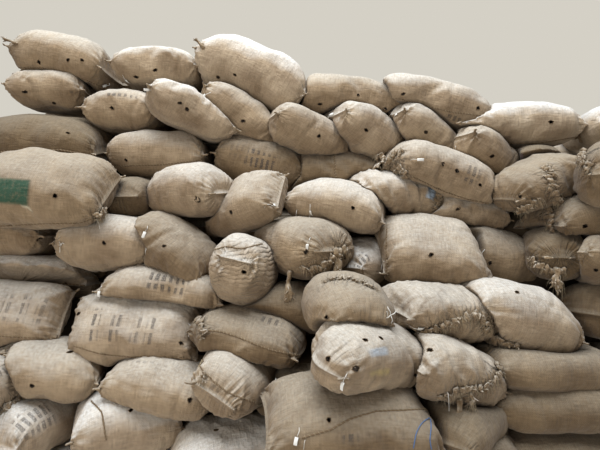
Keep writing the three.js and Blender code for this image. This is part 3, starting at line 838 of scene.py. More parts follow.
def looseCloth(sack):
    # a sack's surface as a cloth that is held at its contacts and its sewn ends
    surface = sack["surface"]
    points = surface["points"]
    rings, columns = points.shape[:2]
    faces = tubeQuads(rings, columns)[2].tolist() + endStrips(rings, columns)
    mesh = bpy.data.meshes.new("loose_" + sack["name"])
    mesh.from_pydata((points.reshape(-1, 3) / 1000).tolist(), [], faces)
    loose = bpy.data.objects.new("loose_" + sack["name"], mesh)
    bpy.context.scene.collection.objects.link(loose)
    held = 1 - smooth(surface["free"] * 1.2 - 0.1)
    held = np.maximum(held, smooth((np.abs(surface["s"]) - 0.985) / 0.01)[:, None]).ravel()
    pins = loose.vertex_groups.new(name="held")
    levels = np.round(held * 10).astype(int)
    for level in range(1, 11):
        pins.add(np.flatnonzero(levels == level).tolist(), level / 10, "REPLACE")
    modifier = loose.modifiers.new("loose", "CLOTH")
    modifier.point_cache.frame_start = 1
    modifier.point_cache.frame_end = slackening["frames"]
    modifier.collision_settings.use_collision = False
    settings = modifier.settings
    settings.quality = slackening["quality"]
    settings.mass = slackening["mass"]
    settings.air_damping = slackening["damping"]
    settings.tension_stiffness = slackening["stiff"]
    settings.compression_stiffness = slackening["stiff"]
    settings.shear_stiffness = slackening["stiff"] / 3
    settings.bending_stiffness = slackening["bend"]
    settings.shrink_min = -slackening["grow"]
    settings.use_pressure = True
    settings.uniform_pressure_force = slackening["pressure"]
    settings.vertex_group_mass = "held"
    settings.effector_weights.gravity = 0
    return loose


def softLimit(value, limit):
    # nearly the value while it is small, and never past the limit
    return limit * np.tanh(value / limit)


def slacken(group):
    # each surface moved to where its cloth comes to rest, within limits along the normal and sideways
    made = [looseCloth(sack) for sack in group]
    for frameNumber in range(1, slackening["frames"] + 1):
        bpy.context.scene.frame_set(frameNumber)
    depsgraph = bpy.context.evaluated_depsgraph_get()
    for sack, loose in zip(group, made):
        surface = sack["surface"]
        points = surface["points"]
        moved = np.empty(points.size)
        loose.evaluated_get(depsgraph).to_mesh().vertices.foreach_get("co", moved)
        moved = moved.reshape(points.shape) * 1000 - points
        normals = gridNormals(points)
        outward = (moved * normals).sum(axis=2)
        sideways = moved - normals * outward[..., None]
        limit = np.where(outward > 0, slackening["out"], slackening["inward"])
        outward = softLimit(outward, limit)
        slide = np.linalg.norm(sideways, axis=2, keepdims=True)
        sideways = sideways / np.maximum(slide, 1e-6) * softLimit(slide, slackening["slide"])
        points = points + (normals * outward[..., None] + sideways) * surface["free"][..., None]
        points[..., 2] = np.maximum(points[..., 2], 0)
        surface["points"] = points
        mesh = loose.data
        bpy.data.objects.remove(loose)
        bpy.data.meshes.remove(mesh)
    bpy.context.scene.frame_set(1)


slacken(list(front.values()))
report("loose cloth")

# what the view shows on each sack, found by a ray from the eye through a column and row: "holes" and "ties"
# are places, "seam" is a line, "ruffles" and "strings" are lists of lines, "tags" add an angle to a place,
# "threads" and "tassels" a length, "stubs" both, and "bars" half sizes, an angle, the strength and the dye
marks = {
    "row1_1": {"bars": [((38, 418), 120, 90, 0.1, 0.5, "ink")]},
    "row1_2": {"holes": [(131, 410)], "seam": [(91, 401), (102, 412), (106, 440)]},
    "row1_3": {"holes": [(216, 430)]},
    "row2_1": {"ruffles": [[(3, 352), (12, 358), (20, 370), (24, 388), (20, 405), (10, 418), (3, 424)]],
               "bars": [((8, 372), 60, 40, 0.0, 0.4, "ink")]},
    "row2_2": {"holes": [(32, 386), (70, 352)]},
    "row2_3": {"bars": [((150, 364), 110, 16, 0.05, 0.45, "ink")], "holes": [(190, 400)]},
    "row2_4": {"seam": [(193, 356), (202, 370), (214, 382), (228, 393), (246, 400), (264, 406)],
               "tassels": [(205, 372, 60)], "ears": {(-1, 1): 50},
               "bars": [((214, 392), 50, 50, 0.6, 0.35, "ink")]},
    "row2_5": {"strings": [[(429, 418), (422, 422), (416, 432), (413, 448)], [(430, 419), (431, 428),
                   (429, 440), (431, 449)]], "threads": [(276, 380, 60), (306, 440, 60)],
               "holes": [(329, 420)], "seam": [(302, 438), (330, 430), (350, 419), (376, 411), (430, 409)],
               "tags": [(297, 437, 80)], "bars": [((352, 437), 40, 30, 0.0, 0.5, "ink")]},
    "row3_1": {"bars": [((6, 310), 30, 90, 0.05, 0.4, "ink"), ((24, 312), 30, 90, 0.05, 0.45, "ink"),
                   ((41, 313), 26, 90, 0.05, 0.4, "ink")], "seam": [(0, 336), (30, 338), (64, 338)]},
    "row3_2": {"seam": [(74, 346), (100, 354), (140, 358), (184, 357)],
               "bars": [((96, 326), 26, 110, 0.05, 0.65, "ink"), ((117, 330), 26, 110, 0.05, 0.6, "ink"),
                   ((136, 332), 22, 80, 0.05, 0.55, "ink"), ((153, 332), 26, 110, 0.05, 0.55, "ink")],
               "holes": [(181, 343), (72, 312)], "tags": [(189, 330, 80)]},
    "row3_3": {"ruffles": [[(198, 318), (203, 324), (201, 332), (205, 338)]], "ruffleHeight": 22,
               "seam": [(206, 330), (222, 332), (240, 338), (270, 350), (300, 356)],
               "bars": [((272, 322), 70, 40, 0.1, 0.55, "ink")]},
    "row3_4": {"holes": [(365, 340), (381, 338), (328, 359), (356, 369), (417, 375)],
               "tags": [(344, 382, 80)], "ears": {(-1, 1): 5, (-1, -1): 45},
               "bars": [((381, 352), 60, 20, 0.1, 0.5, "blue"), ((380, 374), 70, 16, 0.0, 0.4, "yellow")]},
    "row3_5": {"ruffles": [[(438, 398), (450, 394), (464, 388), (478, 390), (490, 384), (498, 376),
                   (503, 366)]], "ruffleHeight": 22, "tassels": [(458, 398, 190), (470, 392, 70)],
               "threads": [(447, 392, 110)], "holes": [(430, 350)]},
    "row4_1": {"holes": [(65, 284)], "seam": [(0, 287), (30, 284), (60, 284), (92, 286)]},
    "row4_2": {"bars": [((170, 284), 130, 60, 0.1, 0.6, "ink")],
               "seam": [(104, 298), (140, 302), (180, 307), (218, 310)], "tags": [(100, 291, 80)]},
    "row4_3": {"ruffles": [[(322, 282), (335, 278), (350, 278), (366, 284), (378, 290)]],
               "ruffleHeight": 12, "threads": [(386, 312, 50)], "holes": [(327, 317)],
               "ties": [(390, 315)]},
    "row4_4": {"ruffles": [[(404, 333), (425, 331), (445, 326), (462, 318), (478, 314), (484, 322),
                   (488, 332)]], "ruffleHeight": 24, "tags": [(417, 328, 0)]},
    "row4_5": {"ruffles": [[(492, 336), (504, 341), (518, 345)]], "holes": [(517, 292)]},
    "row5_1": {"holes": [(40, 238)]},
    "row5_2": {"holes": [(104, 243)], "ties": [(62, 245)]},
    "row5_3": {"threads": [(133, 252, 70)], "holes": [(164, 246)], "tags": [(145, 232, 70)]},
    "row5_4": {"holes": [(244, 272)], "seam": [(214, 250), (226, 246), (240, 249), (262, 244)]},
    "row5_5": {"ruffles": [[(300, 268), (312, 270), (324, 265), (336, 257), (345, 247), (346, 260)]],
               "tassels": [(290, 270, 230), (336, 248, 190)], "holes": [(306, 252)],
               "tags": [(308, 244, 80)]},
    "row5_6": {"bars": [((360, 262), 90, 60, 0.0, 0.6, "ink")]},
    "row5_7": {"seam": [(387, 228), (386, 250), (389, 280)], "threads": [(383, 262, 90), (386, 270, 60)],
               "holes": [(431, 255)]},
    "row5_8": {"threads": [(500, 232, 50)], "holes": [(490, 263)], "tags": [(482, 255, 70)]},
    "row5_9": {"ruffles": [[(530, 258), (537, 264), (546, 268), (556, 272), (566, 270)]],
               "tassels": [(557, 268, 120)], "threads": [(560, 272, 110)]},
    "row5_10": {"holes": [(596, 270)]},
    "row6_1": {"ruffles": [[(106, 211), (112, 218), (116, 226)]], "ruffleHeight": 22,
               "threads": [(112, 228, 60)], "holes": [(55, 196)],
               "seam": [(0, 226), (40, 224), (80, 223), (106, 215)], "ears": {(1, -1): 50},
               "bars": [((14, 193), 108, 84, 0.06, 0.95, "green"), ((18, 202), 120, 9, 0.45, 0.8, "pale")]},
    "row6_2": {"threads": [(228, 170, 50)], "holes": [(199, 201)], "ears": {(1, -1): 24}},
    "row6_3": {"tags": [(271, 206, 0)], "holes": [(231, 212)]},
    "row6_4": {"threads": [(311, 213, 70), (298, 210, 60)], "holes": [(353, 208)],
               "tags": [(311, 210, 80)]},
    "row6_5": {"ruffles": [[(428, 179), (436, 186), (439, 198), (434, 210)]], "threads": [(425, 176, 60)],
               "bars": [((432, 194), 45, 60, 0.1, 0.85, "blue")], "holes": [(377, 203)]},
    "row6_6": {"holes": [(458, 209)]},
    "row6_7": {"ruffles": [[(548, 205), (552, 216), (550, 230)]], "holes": [(585, 226)]},
    "row6_8": {"ruffles": [[(542, 166), (552, 172), (548, 184), (556, 196), (562, 208)], [(516, 211),
                   (530, 206), (542, 199)]], "holes": [(520, 196)]},
    "row6_9": {"ruffles": [[(578, 150), (584, 162), (590, 172)]]},
    "row7_1": {"holes": [(68, 133)], "seam": [(0, 152), (30, 151), (60, 150), (84, 154), (104, 161)]},
    "row7_2": {"holes": [(126, 160)], "seam": [(114, 166), (160, 165), (204, 160)]},
    "row7_3": {"bars": [((236, 152), 60, 60, 0.0, 0.25, "ink"), ((262, 162), 110, 70, 0.2, 0.6, "ink")]},
    "row7_4": {"seam": [(334, 155), (335, 165), (336, 182)],
               "bars": [((315, 163), 60, 12, 0.0, 0.3, "ink")]},
    "row7_5": {"ruffles": [[(384, 178), (386, 164), (394, 155), (404, 151)], [(394, 172), (402, 167),
                   (407, 174), (404, 182)]], "holes": [(443, 164), (457, 171), (480, 185)],
               "seam": [(405, 174), (420, 180), (440, 190), (466, 199), (490, 204)],
               "tags": [(417, 160, 0)], "bars": [((474, 176), 50, 70, 0.15, 0.5, "ink")]},
    "row8_1": {"threads": [(84, 98, 60), (86, 104, 70)], "holes": [(54, 103), (25, 92)],
               "bars": [((74, 94), 30, 26, 0.2, 0.4, "ink")]},
    "row8_2": {"holes": [(112, 108)], "bars": [((122, 96), 120, 16, 0.0, 0.6, "ink")]},
    "row8_3": {"holes": [(180, 103), (187, 109)], "tags": [(147, 88, 10)]},
    "row8_4": {"holes": [(243, 121)], "tags": [(206, 95, 20)]},
    "row8_5": {"holes": [(319, 136)]},
    "row8_6": {"threads": [(340, 118, 50)], "holes": [(366, 130)], "tags": [(334, 114, 10)]},
    "row8_7": {"holes": [(426, 132)], "tags": [(398, 114, 20)]},
    "row8_8": {"threads": [(450, 136, 60), (456, 146, 40)], "holes": [(492, 156)]},
    "row8_9": {"bars": [((522, 160), 40, 30, 0.0, 0.35, "violet")]},
    "row9_1": {"holes": [(39, 62), (82, 60), (68, 60)],
               "seam": [(16, 68), (32, 68), (50, 68), (76, 76), (104, 88)], "tags": [(106, 85, 30)],
               "stubs": [(16, 43, 165, 75), (14, 72, 215, 80)]},
    "row9_2": {"holes": [(155, 70), (136, 77)], "tags": [(126, 79, 70)]},
    "row9_3": {"holes": [(235, 75), (218, 77), (287, 106)], "stubs": [(203, 46, 140, 80)]},
    "row9_4": {"holes": [(320, 104), (358, 95), (385, 109)],
               "seam": [(308, 113), (328, 117), (348, 112), (372, 118), (390, 119)]},
    "row9_5": {"holes": [(403, 94), (478, 108)], "seam": [(390, 97), (420, 104), (450, 112), (494, 117)],
               "bars": [((455, 119), 60, 22, 0.3, 0.55, "ink")]},
    "row9_6": {"holes": [(551, 122)], "seam": [(472, 138), (502, 143), (540, 143), (576, 137)]},
}
dyes = {"ink": (0.055, 0.05, 0.05), "violet": (0.12, 0.09, 0.16), "green": (0.016, 0.065, 0.038),
        "pale": (0.55, 0.5, 0.38), "blue": (0.36, 0.47, 0.60), "yellow": (0.45, 0.36, 0.12)}


def addTree(sack):
    # a tree for rays, and the column and row that show the sack's middle
    points = sack["surface"]["points"]
    quads = tubeQuads(*points.shape[:2])[2]
    sack["tree"] = BVHTree.FromPolygons(points.reshape(-1, 3).tolist(), quads.tolist())
    centre = sack["centre"]
    away = centre[1] + view["eyeToOrigin"]
    sack["pixel"] = np.array([view["middle"][0] + centre[0] / away * view["reach"],
                              view["middle"][1] - (centre[2] - view["eyeHeight"]) / away * view["reach"]])


def seenOn(sack, pixel):
    # the point, the outward normal and the quad that a column and row show, or the nearest towards the middle
    eye = Vector((0, -view["eyeToOrigin"], view["eyeHeight"]))
    columns = sack["surface"]["points"].shape[1]
    for share in np.linspace(0, 1, 21):
        column, row = np.array(pixel) * (1 - share) + sack["pixel"] * share
        right, up = column - view["middle"][0], view["middle"][1] - row
        way = Vector((right / view["reach"], 1, up / view["reach"]))
        point, normal, face, _ = sack["tree"].ray_cast(eye, way.normalized())
        if point is not None:
            if normal.dot(way) > 0:
                normal = -normal
            return np.array(point), np.array(normal), divmod(face, columns)
    away = sack["centre"][1] + view["eyeToOrigin"]
    point, normal, face, _ = sack["tree"].find_nearest(eye + way * away)
    return np.array(point), np.array(normal), divmod(face, columns)


def ontoSack(sack, point, normal, lift=0.0):
    # the point moved along the normal onto the sack's surface
    found = sack["tree"].ray_cast(Vector(point + normal * 60), Vector(-normal), 150)[0]
    return (np.array(found) if found is not None else point) + normal * lift


def frameAt(normal, angle=0.0):
    # two directions in the surface: one level, turned by the angle as seen, and one across it
    level = np.cross(normal, (0, 0, 1.0))
    level /= np.linalg.norm(level)
    rise = np.cross(normal, level)
    if rise[2] < 0:
        rise = -rise
    if level[0] < 0:
        level = -level
    along = level * math.cos(angle) + rise * math.sin(angle)
    return along, np.cross(normal, along)


def tube(path, radius, finish, sides=5):
    # circles carried along a path
    path = np.array(path, float)
    way = unit(np.gradient(path, axis=0))
    side = unit(np.cross(way, np.array([0.31, 0.22, 0.93])))
    other = np.cross(way, side)
    turn = around(sides)[None, :, None]
    ring = side[:, None] * np.cos(turn) + other[:, None] * np.sin(turn)
    return looseGrid((path[:, None] + ring * radius)[:, ::-1], finish)


def pathOn(sack, pixels, spacing=None):
    # a smoothed line through the given places, put on the surface point by point, with its smoothed normals
    corners = np.array(pixels, float)
    knots = distances(corners)
    path = between(corners, knots, np.linspace(0, knots[-1], max(8, int(knots[-1] / 1.6))))
    for _ in range(6):
        path[1:-1] = (path[:-2] + path[1:-1] * 2 + path[2:]) / 4
    found = [seenOn(sack, pixel) for pixel in path]
    points, normals = (np.array([place[k] for place in found]) for k in (0, 1))
    for _ in range(4):
        normals[1:-1] = normals[:-2] + normals[1:-1] + normals[2:]
        normals = unit(normals)
    if spacing:
        lengths = distances(points)
        at = np.linspace(0, lengths[-1], max(6, int(lengths[-1] / spacing)))
        points, normals = between(points, lengths, at), between(normals, lengths, at)
    return points, normals


# a sewn ridge: half its width, its height, and the spacing and radius of its stitches
seam = {"width": 6.0, "height": 4.5, "stitch": 24, "thread": 1.2}


def seamParts(sack, pixels, rng):
    # a section carried along the line through the given places, with a thread over it at each stitch
    points, normals = pathOn(sack, pixels)
    side = np.cross(unit(np.gradient(points, axis=0)), normals)
    section = np.array([(-1, -0.6), (-0.55, 0.62), (0, 1), (0.55, 0.55), (1, -0.6), (0, -0.8)])
    wobble = rng.normal(0, 0.8, len(points))
    sideways = section[None, :, 0] * seam["width"] + wobble[:, None]
    upward = section[None, :, 1] * seam["height"]
    grid = points[:, None] + side[:, None] * sideways[..., None] + normals[:, None] * upward[..., None]
    # the ridge's darker cloth is painted shade along the seam
    parts = [looseGrid(grid, "seam_jute")]
    lengths = distances(points)
    for at in np.arange(14, lengths[-1], seam["stitch"]):
        start, end = (between(points, lengths, at + step) for step in (0, 7))
        up = between(normals, lengths, at)
        across = unit(np.cross(end - start, up))
        path = [start - across * 9 + up, start - across * 4 + up * 5,
                end + across * 4 + up * 5, end + across * 9 + up]
        parts.append(tube(path, seam["thread"], "twine", 3))
    return parts


def looseThread(start, way, length, rng, finish="twine", radius=1.1):
    # a thread that leaves its start along a way and then hangs
    drift = way * length * 0.4 + rng.normal(0, length * 0.12, 3)
    steps = ((0.6, 0), (1, 0.3), (1.2, 0.75))  # how far out and how far down each of its points lies
    path = [start] + [start + drift * out - np.array([0, 0, length * down]) for out, down in steps]
    return tube(path, radius, finish, 3)


def ropePart(centre, up, radius, rng, flat=0.75, sides=15, tone=0.36):
    # bunched cloth: a flattened tube with three folds that wind round it, and two random fields of crumples;
    # its tone is darker in their hollows, as painted shade
    way = unit(np.gradient(centre, axis=0))
    side = unit(np.cross(way, up))
    up = np.cross(side, way)
    turn = around(sides)
    outward = side[:, None] * np.cos(turn)[None, :, None] + up[:, None] * flat * np.sin(turn)[None, :, None]
    radius = np.asarray(radius)[:, None]
    rope = centre[:, None] + outward * radius[..., None]
    crumple = 0.28 * waves(rope, rng, 60, 9) + 0.12 * waves(rope, rng, 24, 9)
    winding = np.cumsum(rng.normal(0.22, 0.25, len(centre)))[:, None]
    twist = 0.26 * ridged(3 * turn[None] + winding)
    rope = centre[:, None] + outward * (radius * (1 + crumple + twist))[..., None]
    # painted shade: a lower tone in the hollows of the crumples and folds, a higher one on their backs
    return looseGrid(rope[:, ::-1], "jute", np.clip(tone + 0.5 * crumple + 0.9 * twist, 0, 0.9)), rope


def shardPart(start, out, along, length, width, rng, tone):
    # a torn flap of cloth: a short doubled strip that narrows, curls and hangs
    u, v = np.meshgrid(np.linspace(0, 1, 5), np.array([-0.5, 0.0, 0.5]), indexing="ij")
    curl = rng.uniform(-0.8, 1.2)
    reach = u * length * (1 - 0.25 * np.abs(curl) * u)
    sway = v * width * (1 - 0.65 * u) + rng.uniform(-0.5, 0.5) * length * u * u
    fold = np.cross(out, along)
    lift = 6 * curl * u * u + width * 0.5 * np.abs(v) * rng.uniform(-1, 1)
    strip = start + out * reach[..., None] + along * sway[..., None] + fold * lift[..., None]
    strip[..., 2] -= 0.25 * length * u * u
    doubled = np.concatenate([strip + fold * 0.9, (strip - fold * 0.9)[:, ::-1]], axis=1)
    return looseGrid(doubled, "jute", tone)


# a torn mouth: the height of its bunched cloth, the spacing of its points, flaps and threads for each point,
# the sizes of those, and how far and how deep it gathers the cloth about it
torn = {"height": 30, "spacing": 7, "flaps": 0.55, "threads": 2.2, "flapWidth": (9, 20),
        "flapTone": (0.1, 0.65), "thread": (14, 48), "threadRadius": 0.7, "gatherReach": 85,
        "gatherDepth": 5.0, "gatherPitch": 30, "pullReach": 34, "pull": 9}


def ruffleParts(sack, pixels, rng, height):
    # two ropes of bunched cloth that sway about the line, with torn flaps and loose threads that stand out
    points, normals = pathOn(sack, pixels, torn["spacing"])
    count = len(points)
    way = unit(np.gradient(points, axis=0))
    side = np.cross(way, normals)
    at = np.arange(count) * float(torn["spacing"])

    def wander(length, size):
        sines = (np.sin(at * 2 * math.pi / (length * k) + rng.uniform(0, 6)) / k for k in (1, 0.61, 0.37))
        return size * sum(sines) / 2

    taper = smooth(np.minimum(at, at[-1] - at) / 40 + 0.25)
    centre = points + normals * (height * 0.2 + wander(70, 3))[:, None] + side * wander(110, 7)[:, None]
    radius = (height * 0.46 + wander(75, height * 0.24)) * taper
    first, grid = ropePart(centre, normals, radius, rng)
    beside = centre + side * wander(80, 12)[:, None] + normals * 4
    second, _ = ropePart(beside, normals, radius * 0.6, rng, tone=0.45)
    parts = [first, second]
    for _ in range(int(count * torn["flaps"])):
        k, j = rng.integers(0, count), rng.integers(0, grid.shape[1])
        out = unit(unit(grid[k, j] - centre[k]) + rng.normal(0, 0.35, 3) + normals[k] * 0.3)
        length, width = height * rng.uniform(0.5, 1.15), rng.uniform(*torn["flapWidth"])
        tone = rng.uniform(*torn["flapTone"])
        parts.append(shardPart(grid[k, j] - out * 5, out, way[k], length, width, rng, tone))
    for _ in range(int(count * torn["threads"])):
        k, j = rng.integers(0, count), rng.integers(0, grid.shape[1])
        out, length = unit(grid[k, j] - centre[k]), rng.uniform(*torn["thread"])
        parts.append(looseThread(grid[k, j], out, length, rng, radius=torn["threadRadius"]))
    gatherAbout(sack["surface"], points[::2], at[::2])
    return parts


def gatherAbout(surface, line, at):
    # the cloth round a line is pulled in to it, in gathers across it: bells of the distance from the line
    shape = surface["free"].shape
    away = np.linalg.norm(surface["points"].reshape(-1, 3)[:, None] - line[None], axis=2)
    gap = away.min(axis=1)
    weight = bell(gap, torn["gatherReach"]).reshape(shape)
    fields = surface["fields"]
    closer = weight > fields["ruffDepth"] / torn["gatherDepth"]
    phase = at[away.argmin(axis=1)].reshape(shape) * 2 * math.pi / torn["gatherPitch"]
    fields["ruff"] = np.where(closer, phase, fields["ruff"])
    fields["ruffDepth"] = np.maximum(fields["ruffDepth"], weight * torn["gatherDepth"])
    pull = bell(gap, torn["pullReach"]).reshape(shape) * torn["pull"]
    surface["points"] = surface["points"] - gridNormals(surface["points"]) * pull[..., None]


# a bunch of torn cloth that hangs from a mouth: its points, its radii down its length, flaps and threads
tassel = {"points": 18, "at": (0, 0.15, 0.35, 0.6, 0.85, 1), "radii": (15, 19, 15, 27, 25, 10),
          "fullLength": 120, "flaps": 16, "threads": 34, "around": 14}


def tasselParts(sack, pixel, length, rng):
    # a twisted strand that swings out and falls, with flaps and threads on its lower half
    point, normal, _ = seenOn(sack, pixel)
    share = np.linspace(0, 1, tassel["points"])
    sideways = frameAt(normal)[0]
    fall = np.array([0, 0, -1.0]) + rng.normal(0, 0.10, 3)
    centre = point + normal * (6 + 20 * np.sin(share * 2.2))[:, None] + fall * (length * share)[:, None]
    centre += sideways * (7 * np.sin(share * 9 + rng.uniform(0, 6)))[:, None]
    radius = np.interp(share, tassel["at"], tassel["radii"]) * min(1, length / tassel["fullLength"])
    bunch, grid = ropePart(centre, np.broadcast_to(normal, centre.shape), radius, rng, 0.8)
    parts = [bunch]
    for _ in range(tassel["flaps"]):
        k, j = rng.integers(8, tassel["points"]), rng.integers(0, tassel["around"])
        out = unit(unit(grid[k, j] - centre[k]) + np.array([0, 0, -0.9]))
        long, wide = rng.uniform(14, 34), rng.uniform(8, 16)
        tone = rng.uniform(*torn["flapTone"])
        parts.append(shardPart(grid[k, j], out, sideways, long, wide, rng, tone))
    for _ in range(tassel["threads"]):
        start = grid[rng.integers(4, tassel["points"]), rng.integers(0, tassel["around"])]
        out = rng.normal(0, 0.6, 3) - np.array([0, 0, 0.8])
        parts.append(looseThread(start, out, rng.uniform(20, 70), rng, radius=torn["threadRadius"]))
    return parts


spikeHole = {"radius": 14.0, "points": 14, "flat": 0.86, "uneven": 0.13}


def holeParts(sack, pixel, rng):
    # a hole that a sampling spike left: an uneven dark ellipse on the cloth, painted shade for its hollow,
    # with a frayed rim
    point, normal, _ = seenOn(sack, pixel)
    along, across = frameAt(normal, rng.uniform(-0.4, 0.4))
    count = spikeHole["points"]
    turn = around(count)
    radius = spikeHole["radius"] * rng.uniform(0.8, 1.15)
    oval = 0.18 * np.sin(2 * turn + rng.uniform(0, 6))
    wide = radius * (1 + oval + rng.normal(0, spikeHole["uneven"], count))
    flat = wide * spikeHole["flat"]
    rim = point + along * (wide * np.cos(turn))[:, None] + across * (flat * np.sin(turn))[:, None]
    rim = np.array([ontoSack(sack, place, normal, 1.6) for place in rim])
    middle = ontoSack(sack, point, normal, 1.0)
    rings = np.array([rim * (1 - share) + middle * share for share in (0.0, 0.5, 0.93)])
    disc = looseGrid(np.concatenate([rings, rings[::-1] - normal * 2.5])[:, ::-1], "hole")
    section = ((0, 0), (0.16, 1.2), (0.30, 0), (0.2, -3), (0, -3))  # out, as a share of the radius, and up
    ring = np.array([rim + (rim - middle) * out + normal * up for out, up in section])
    fray = looseGrid(np.swapaxes(ring, 0, 1)[np.r_[0:count, 0]], "seam_jute", capEnds=False)
    return [disc, fray]


tag = {"length": (38, 50), "width": (17, 21), "lift": 7, "string": 1.6}


def tagParts(sack, pixel, degrees, rng):
    # a paper label, a sheet curled by a sine along it, on a short string
    point, normal, _ = seenOn(sack, pixel)
    along, across = frameAt(normal, math.radians(degrees))
    if along[2] > 0:
        along, across = -along, -across
    length, width = rng.uniform(*tag["length"]), rng.uniform(*tag["width"])
    u, v = np.meshgrid(np.linspace(0, 1, 6), np.linspace(-0.5, 0.5, 4), indexing="ij")
    lift = tag["lift"] + tag["lift"] * np.sin(u * 2.6 + rng.uniform(0, 1)) + 4 * v * u
    sheet = point + along * (u * length)[..., None] + across * (v * width)[..., None]
    sheet = sheet + normal * lift[..., None]
    shell = np.concatenate([sheet, sheet[:, ::-1] - normal], axis=1)
    start = point + normal * 8
    string = [start + along * 6, start - along * 12 + normal * 5 + across * 3,
              start - along * 30 + across * 6, ontoSack(sack, point - along * 44, normal)]
    return [looseGrid(shell, "paper"), tube(string, tag["string"], "paper", 4)]


knot = {"ways": (0.4, 1.9, 3.5, 4.6), "length": (30, 55), "radius": 2.2}


def tieParts(sack, pixel, rng):
    # a knotted white string: short ends that arch out from one place
    point, normal, _ = seenOn(sack, pixel)
    parts = []
    for turn in knot["ways"]:
        along, across = frameAt(normal, turn + rng.uniform(-0.3, 0.3))
        out = along * rng.uniform(*knot["length"])
        path = [point + normal * 4, point + normal * 12 + out * 0.35,
                point + normal * 9 + out * 0.75 + across * 6, point + normal * 3 + out - np.array([0, 0, 6])]
        parts.append(tube(path, knot["radius"], "paper", 5))
    return parts


stub = {"points": 14, "at": (-0.25, 0, 0.35, 0.7, 0.95, 1), "radii": (26, 20, 11, 12, 15, 9), "sides": 12,
        "flaps": 5, "flap": (22, 12), "tone": 0.3}


def stubParts(sack, pixel, degrees, length, rng):
    # a twisted corner of cloth that stands out where the view shows it, along a slightly bent line
    point, _, _ = seenOn(sack, pixel)
    share = np.linspace(-0.25, 1, stub["points"])
    angle = math.radians(degrees)
    way = np.array([math.cos(angle), -0.25, math.sin(angle)])
    bend = rng.normal(0, 0.15, 3)
    centre = point + (way * length) * share[:, None] + bend * length * (share * share)[:, None]
    radius = np.interp(share, stub["at"], stub["radii"])
    up = np.broadcast_to((0.0, -1.0, 0.2), centre.shape)
    part, grid = ropePart(centre, up, radius, rng, 0.9, stub["sides"], stub["tone"])
    parts = [part]
    for _ in range(stub["flaps"]):
        k = rng.integers(10, stub["points"])
        out = unit(way + rng.normal(0, 0.5, 3))
        start = grid[k, rng.integers(0, stub["sides"])]
        parts.append(shardPart(start, out, np.array([0, 0, 1.0]), *stub["flap"], rng, stub["tone"]))
    return parts


ear = {"length": (14, 34), "at": (0, 0.25, 0.45, 0.75, 1), "radii": (17, 12, 7.5, 11, 4), "flat": 0.75,
       "points": 9, "tone": 0.3}


def earPart(sack, end, side, length, rng):
    # the twisted corner of a sewn end: uneven ovals along a bent line out of the corner
    points = sack["surface"]["points"]
    column = 0 if side > 0 else points.shape[1] // 2
    corner = points[0 if end < 0 else -1][column]
    inner = points[3 if end < 0 else -4][column]
    way = unit(sack["turn"] @ np.array([end * 0.85, side * 0.55, 0]))
    turn = around(ear["points"])
    up = sack["turn"] @ np.array([0, 0, 1.0])
    cross = np.cross(way, up)
    bend = rng.normal(0, 0.16, 3)
    rows = []
    for share in np.linspace(0, 1, ear["points"]):
        wide = np.interp(share, ear["at"], ear["radii"]) * (0.6 + length / 110)
        centre = inner + (corner - inner) * min(1, share * 2) + way * length * share
        centre = centre + bend * length * share * share * 1.5
        folds = 0.28 * np.sin(3 * turn + share * 7 + rng.uniform(0, 1))
        radius = wide * (1 + folds + rng.normal(0, 0.08, ear["points"]))
        high = radius * ear["flat"] * np.sin(turn)
        rows.append(centre + cross * (radius * np.cos(turn))[:, None] + up * high[:, None])
    return looseGrid(np.array(rows)[:, ::-1], "jute", ear["tone"])


frill = {"neck": 30, "flare": 55, "length": 48, "pleats": (8, 11), "points": 72, "rows": 13, "hang": 42,
         "threads": 26, "tie": 3.5, "tieRadius": 33}


def frillParts(sack, end, rng):
    # the gathered mouth past a tie: a pleated collar of doubled cloth that flares, the tie and loose threads
    centre = sack["centre"] + sack["turn"] @ np.array([end * sack["half"][0], 0, -sack["droop"]])
    way = sack["turn"] @ np.array([end, 0, 0.0])
    up = sack["turn"] @ np.array([0, 0, 1.0])
    side = np.cross(up, way)
    turn = around(frill["points"])
    pleats = rng.integers(*frill["pleats"])
    phase = rng.uniform(0, 6, 3)
    rows = []
    for share in np.linspace(-0.15, 1, frill["rows"]):
        out = max(share, 0)
        radius = frill["neck"] + (frill["flare"] - frill["neck"]) * out ** 0.8
        fold = 1 + (0.10 + 0.34 * out) * np.sin(pleats * turn + phase[0] + 1.5 * out)
        radius = radius * (fold + 0.15 * out * np.sin(3 * turn + phase[1]))
        forward = frill["length"] * share + 22 * out * np.sin(2 * turn + phase[2])
        forward = forward + 10 * out * np.sin(pleats * 2 * turn)
        line = centre + way * forward[:, None] + side * (radius * np.cos(turn))[:, None]
        line = line + up * (radius * np.sin(turn))[:, None]
        line[:, 2] -= frill["hang"] * out * out
        rows.append(line)
    rows = np.array(rows)
    normals = gridNormals(rows)
    crumple = waves(rows, rng, 40, 9)
    rows = rows + normals * (crumple * 5 * np.linspace(0.2, 1, frill["rows"])[:, None])[..., None]
    shell = np.concatenate([rows, rows[::-1] - normals[::-1] * 2.2])
    # painted shade: the collar's tone falls in the hollows of its crumples
    shades = np.clip(0.55 + 0.25 * np.concatenate([crumple, crumple[::-1]]), 0.1, 1)
    band = [centre + (side * math.cos(k) + up * math.sin(k)) * frill["tieRadius"] + way * 3 * math.sin(2 * k)
            for k in np.linspace(0, 2 * math.pi, 25)]
    collar = looseGrid(shell[:, ::-1], "jute", shades[:, ::-1], capEnds=False)
    parts = [collar, tube(band, frill["tie"], "twine", 6)]
    for _ in range(frill["threads"]):
        base = rows[-1][rng.integers(0, frill["points"])]
        drift = way * rng.uniform(4, 22) + rng.normal(0, 9, 3)
        path = [base, base + drift * 0.5, base + drift - np.array([0, 0, rng.uniform(8, 34)])]
        parts.append(tube(path, 1.1, "twine", 3))
    return parts


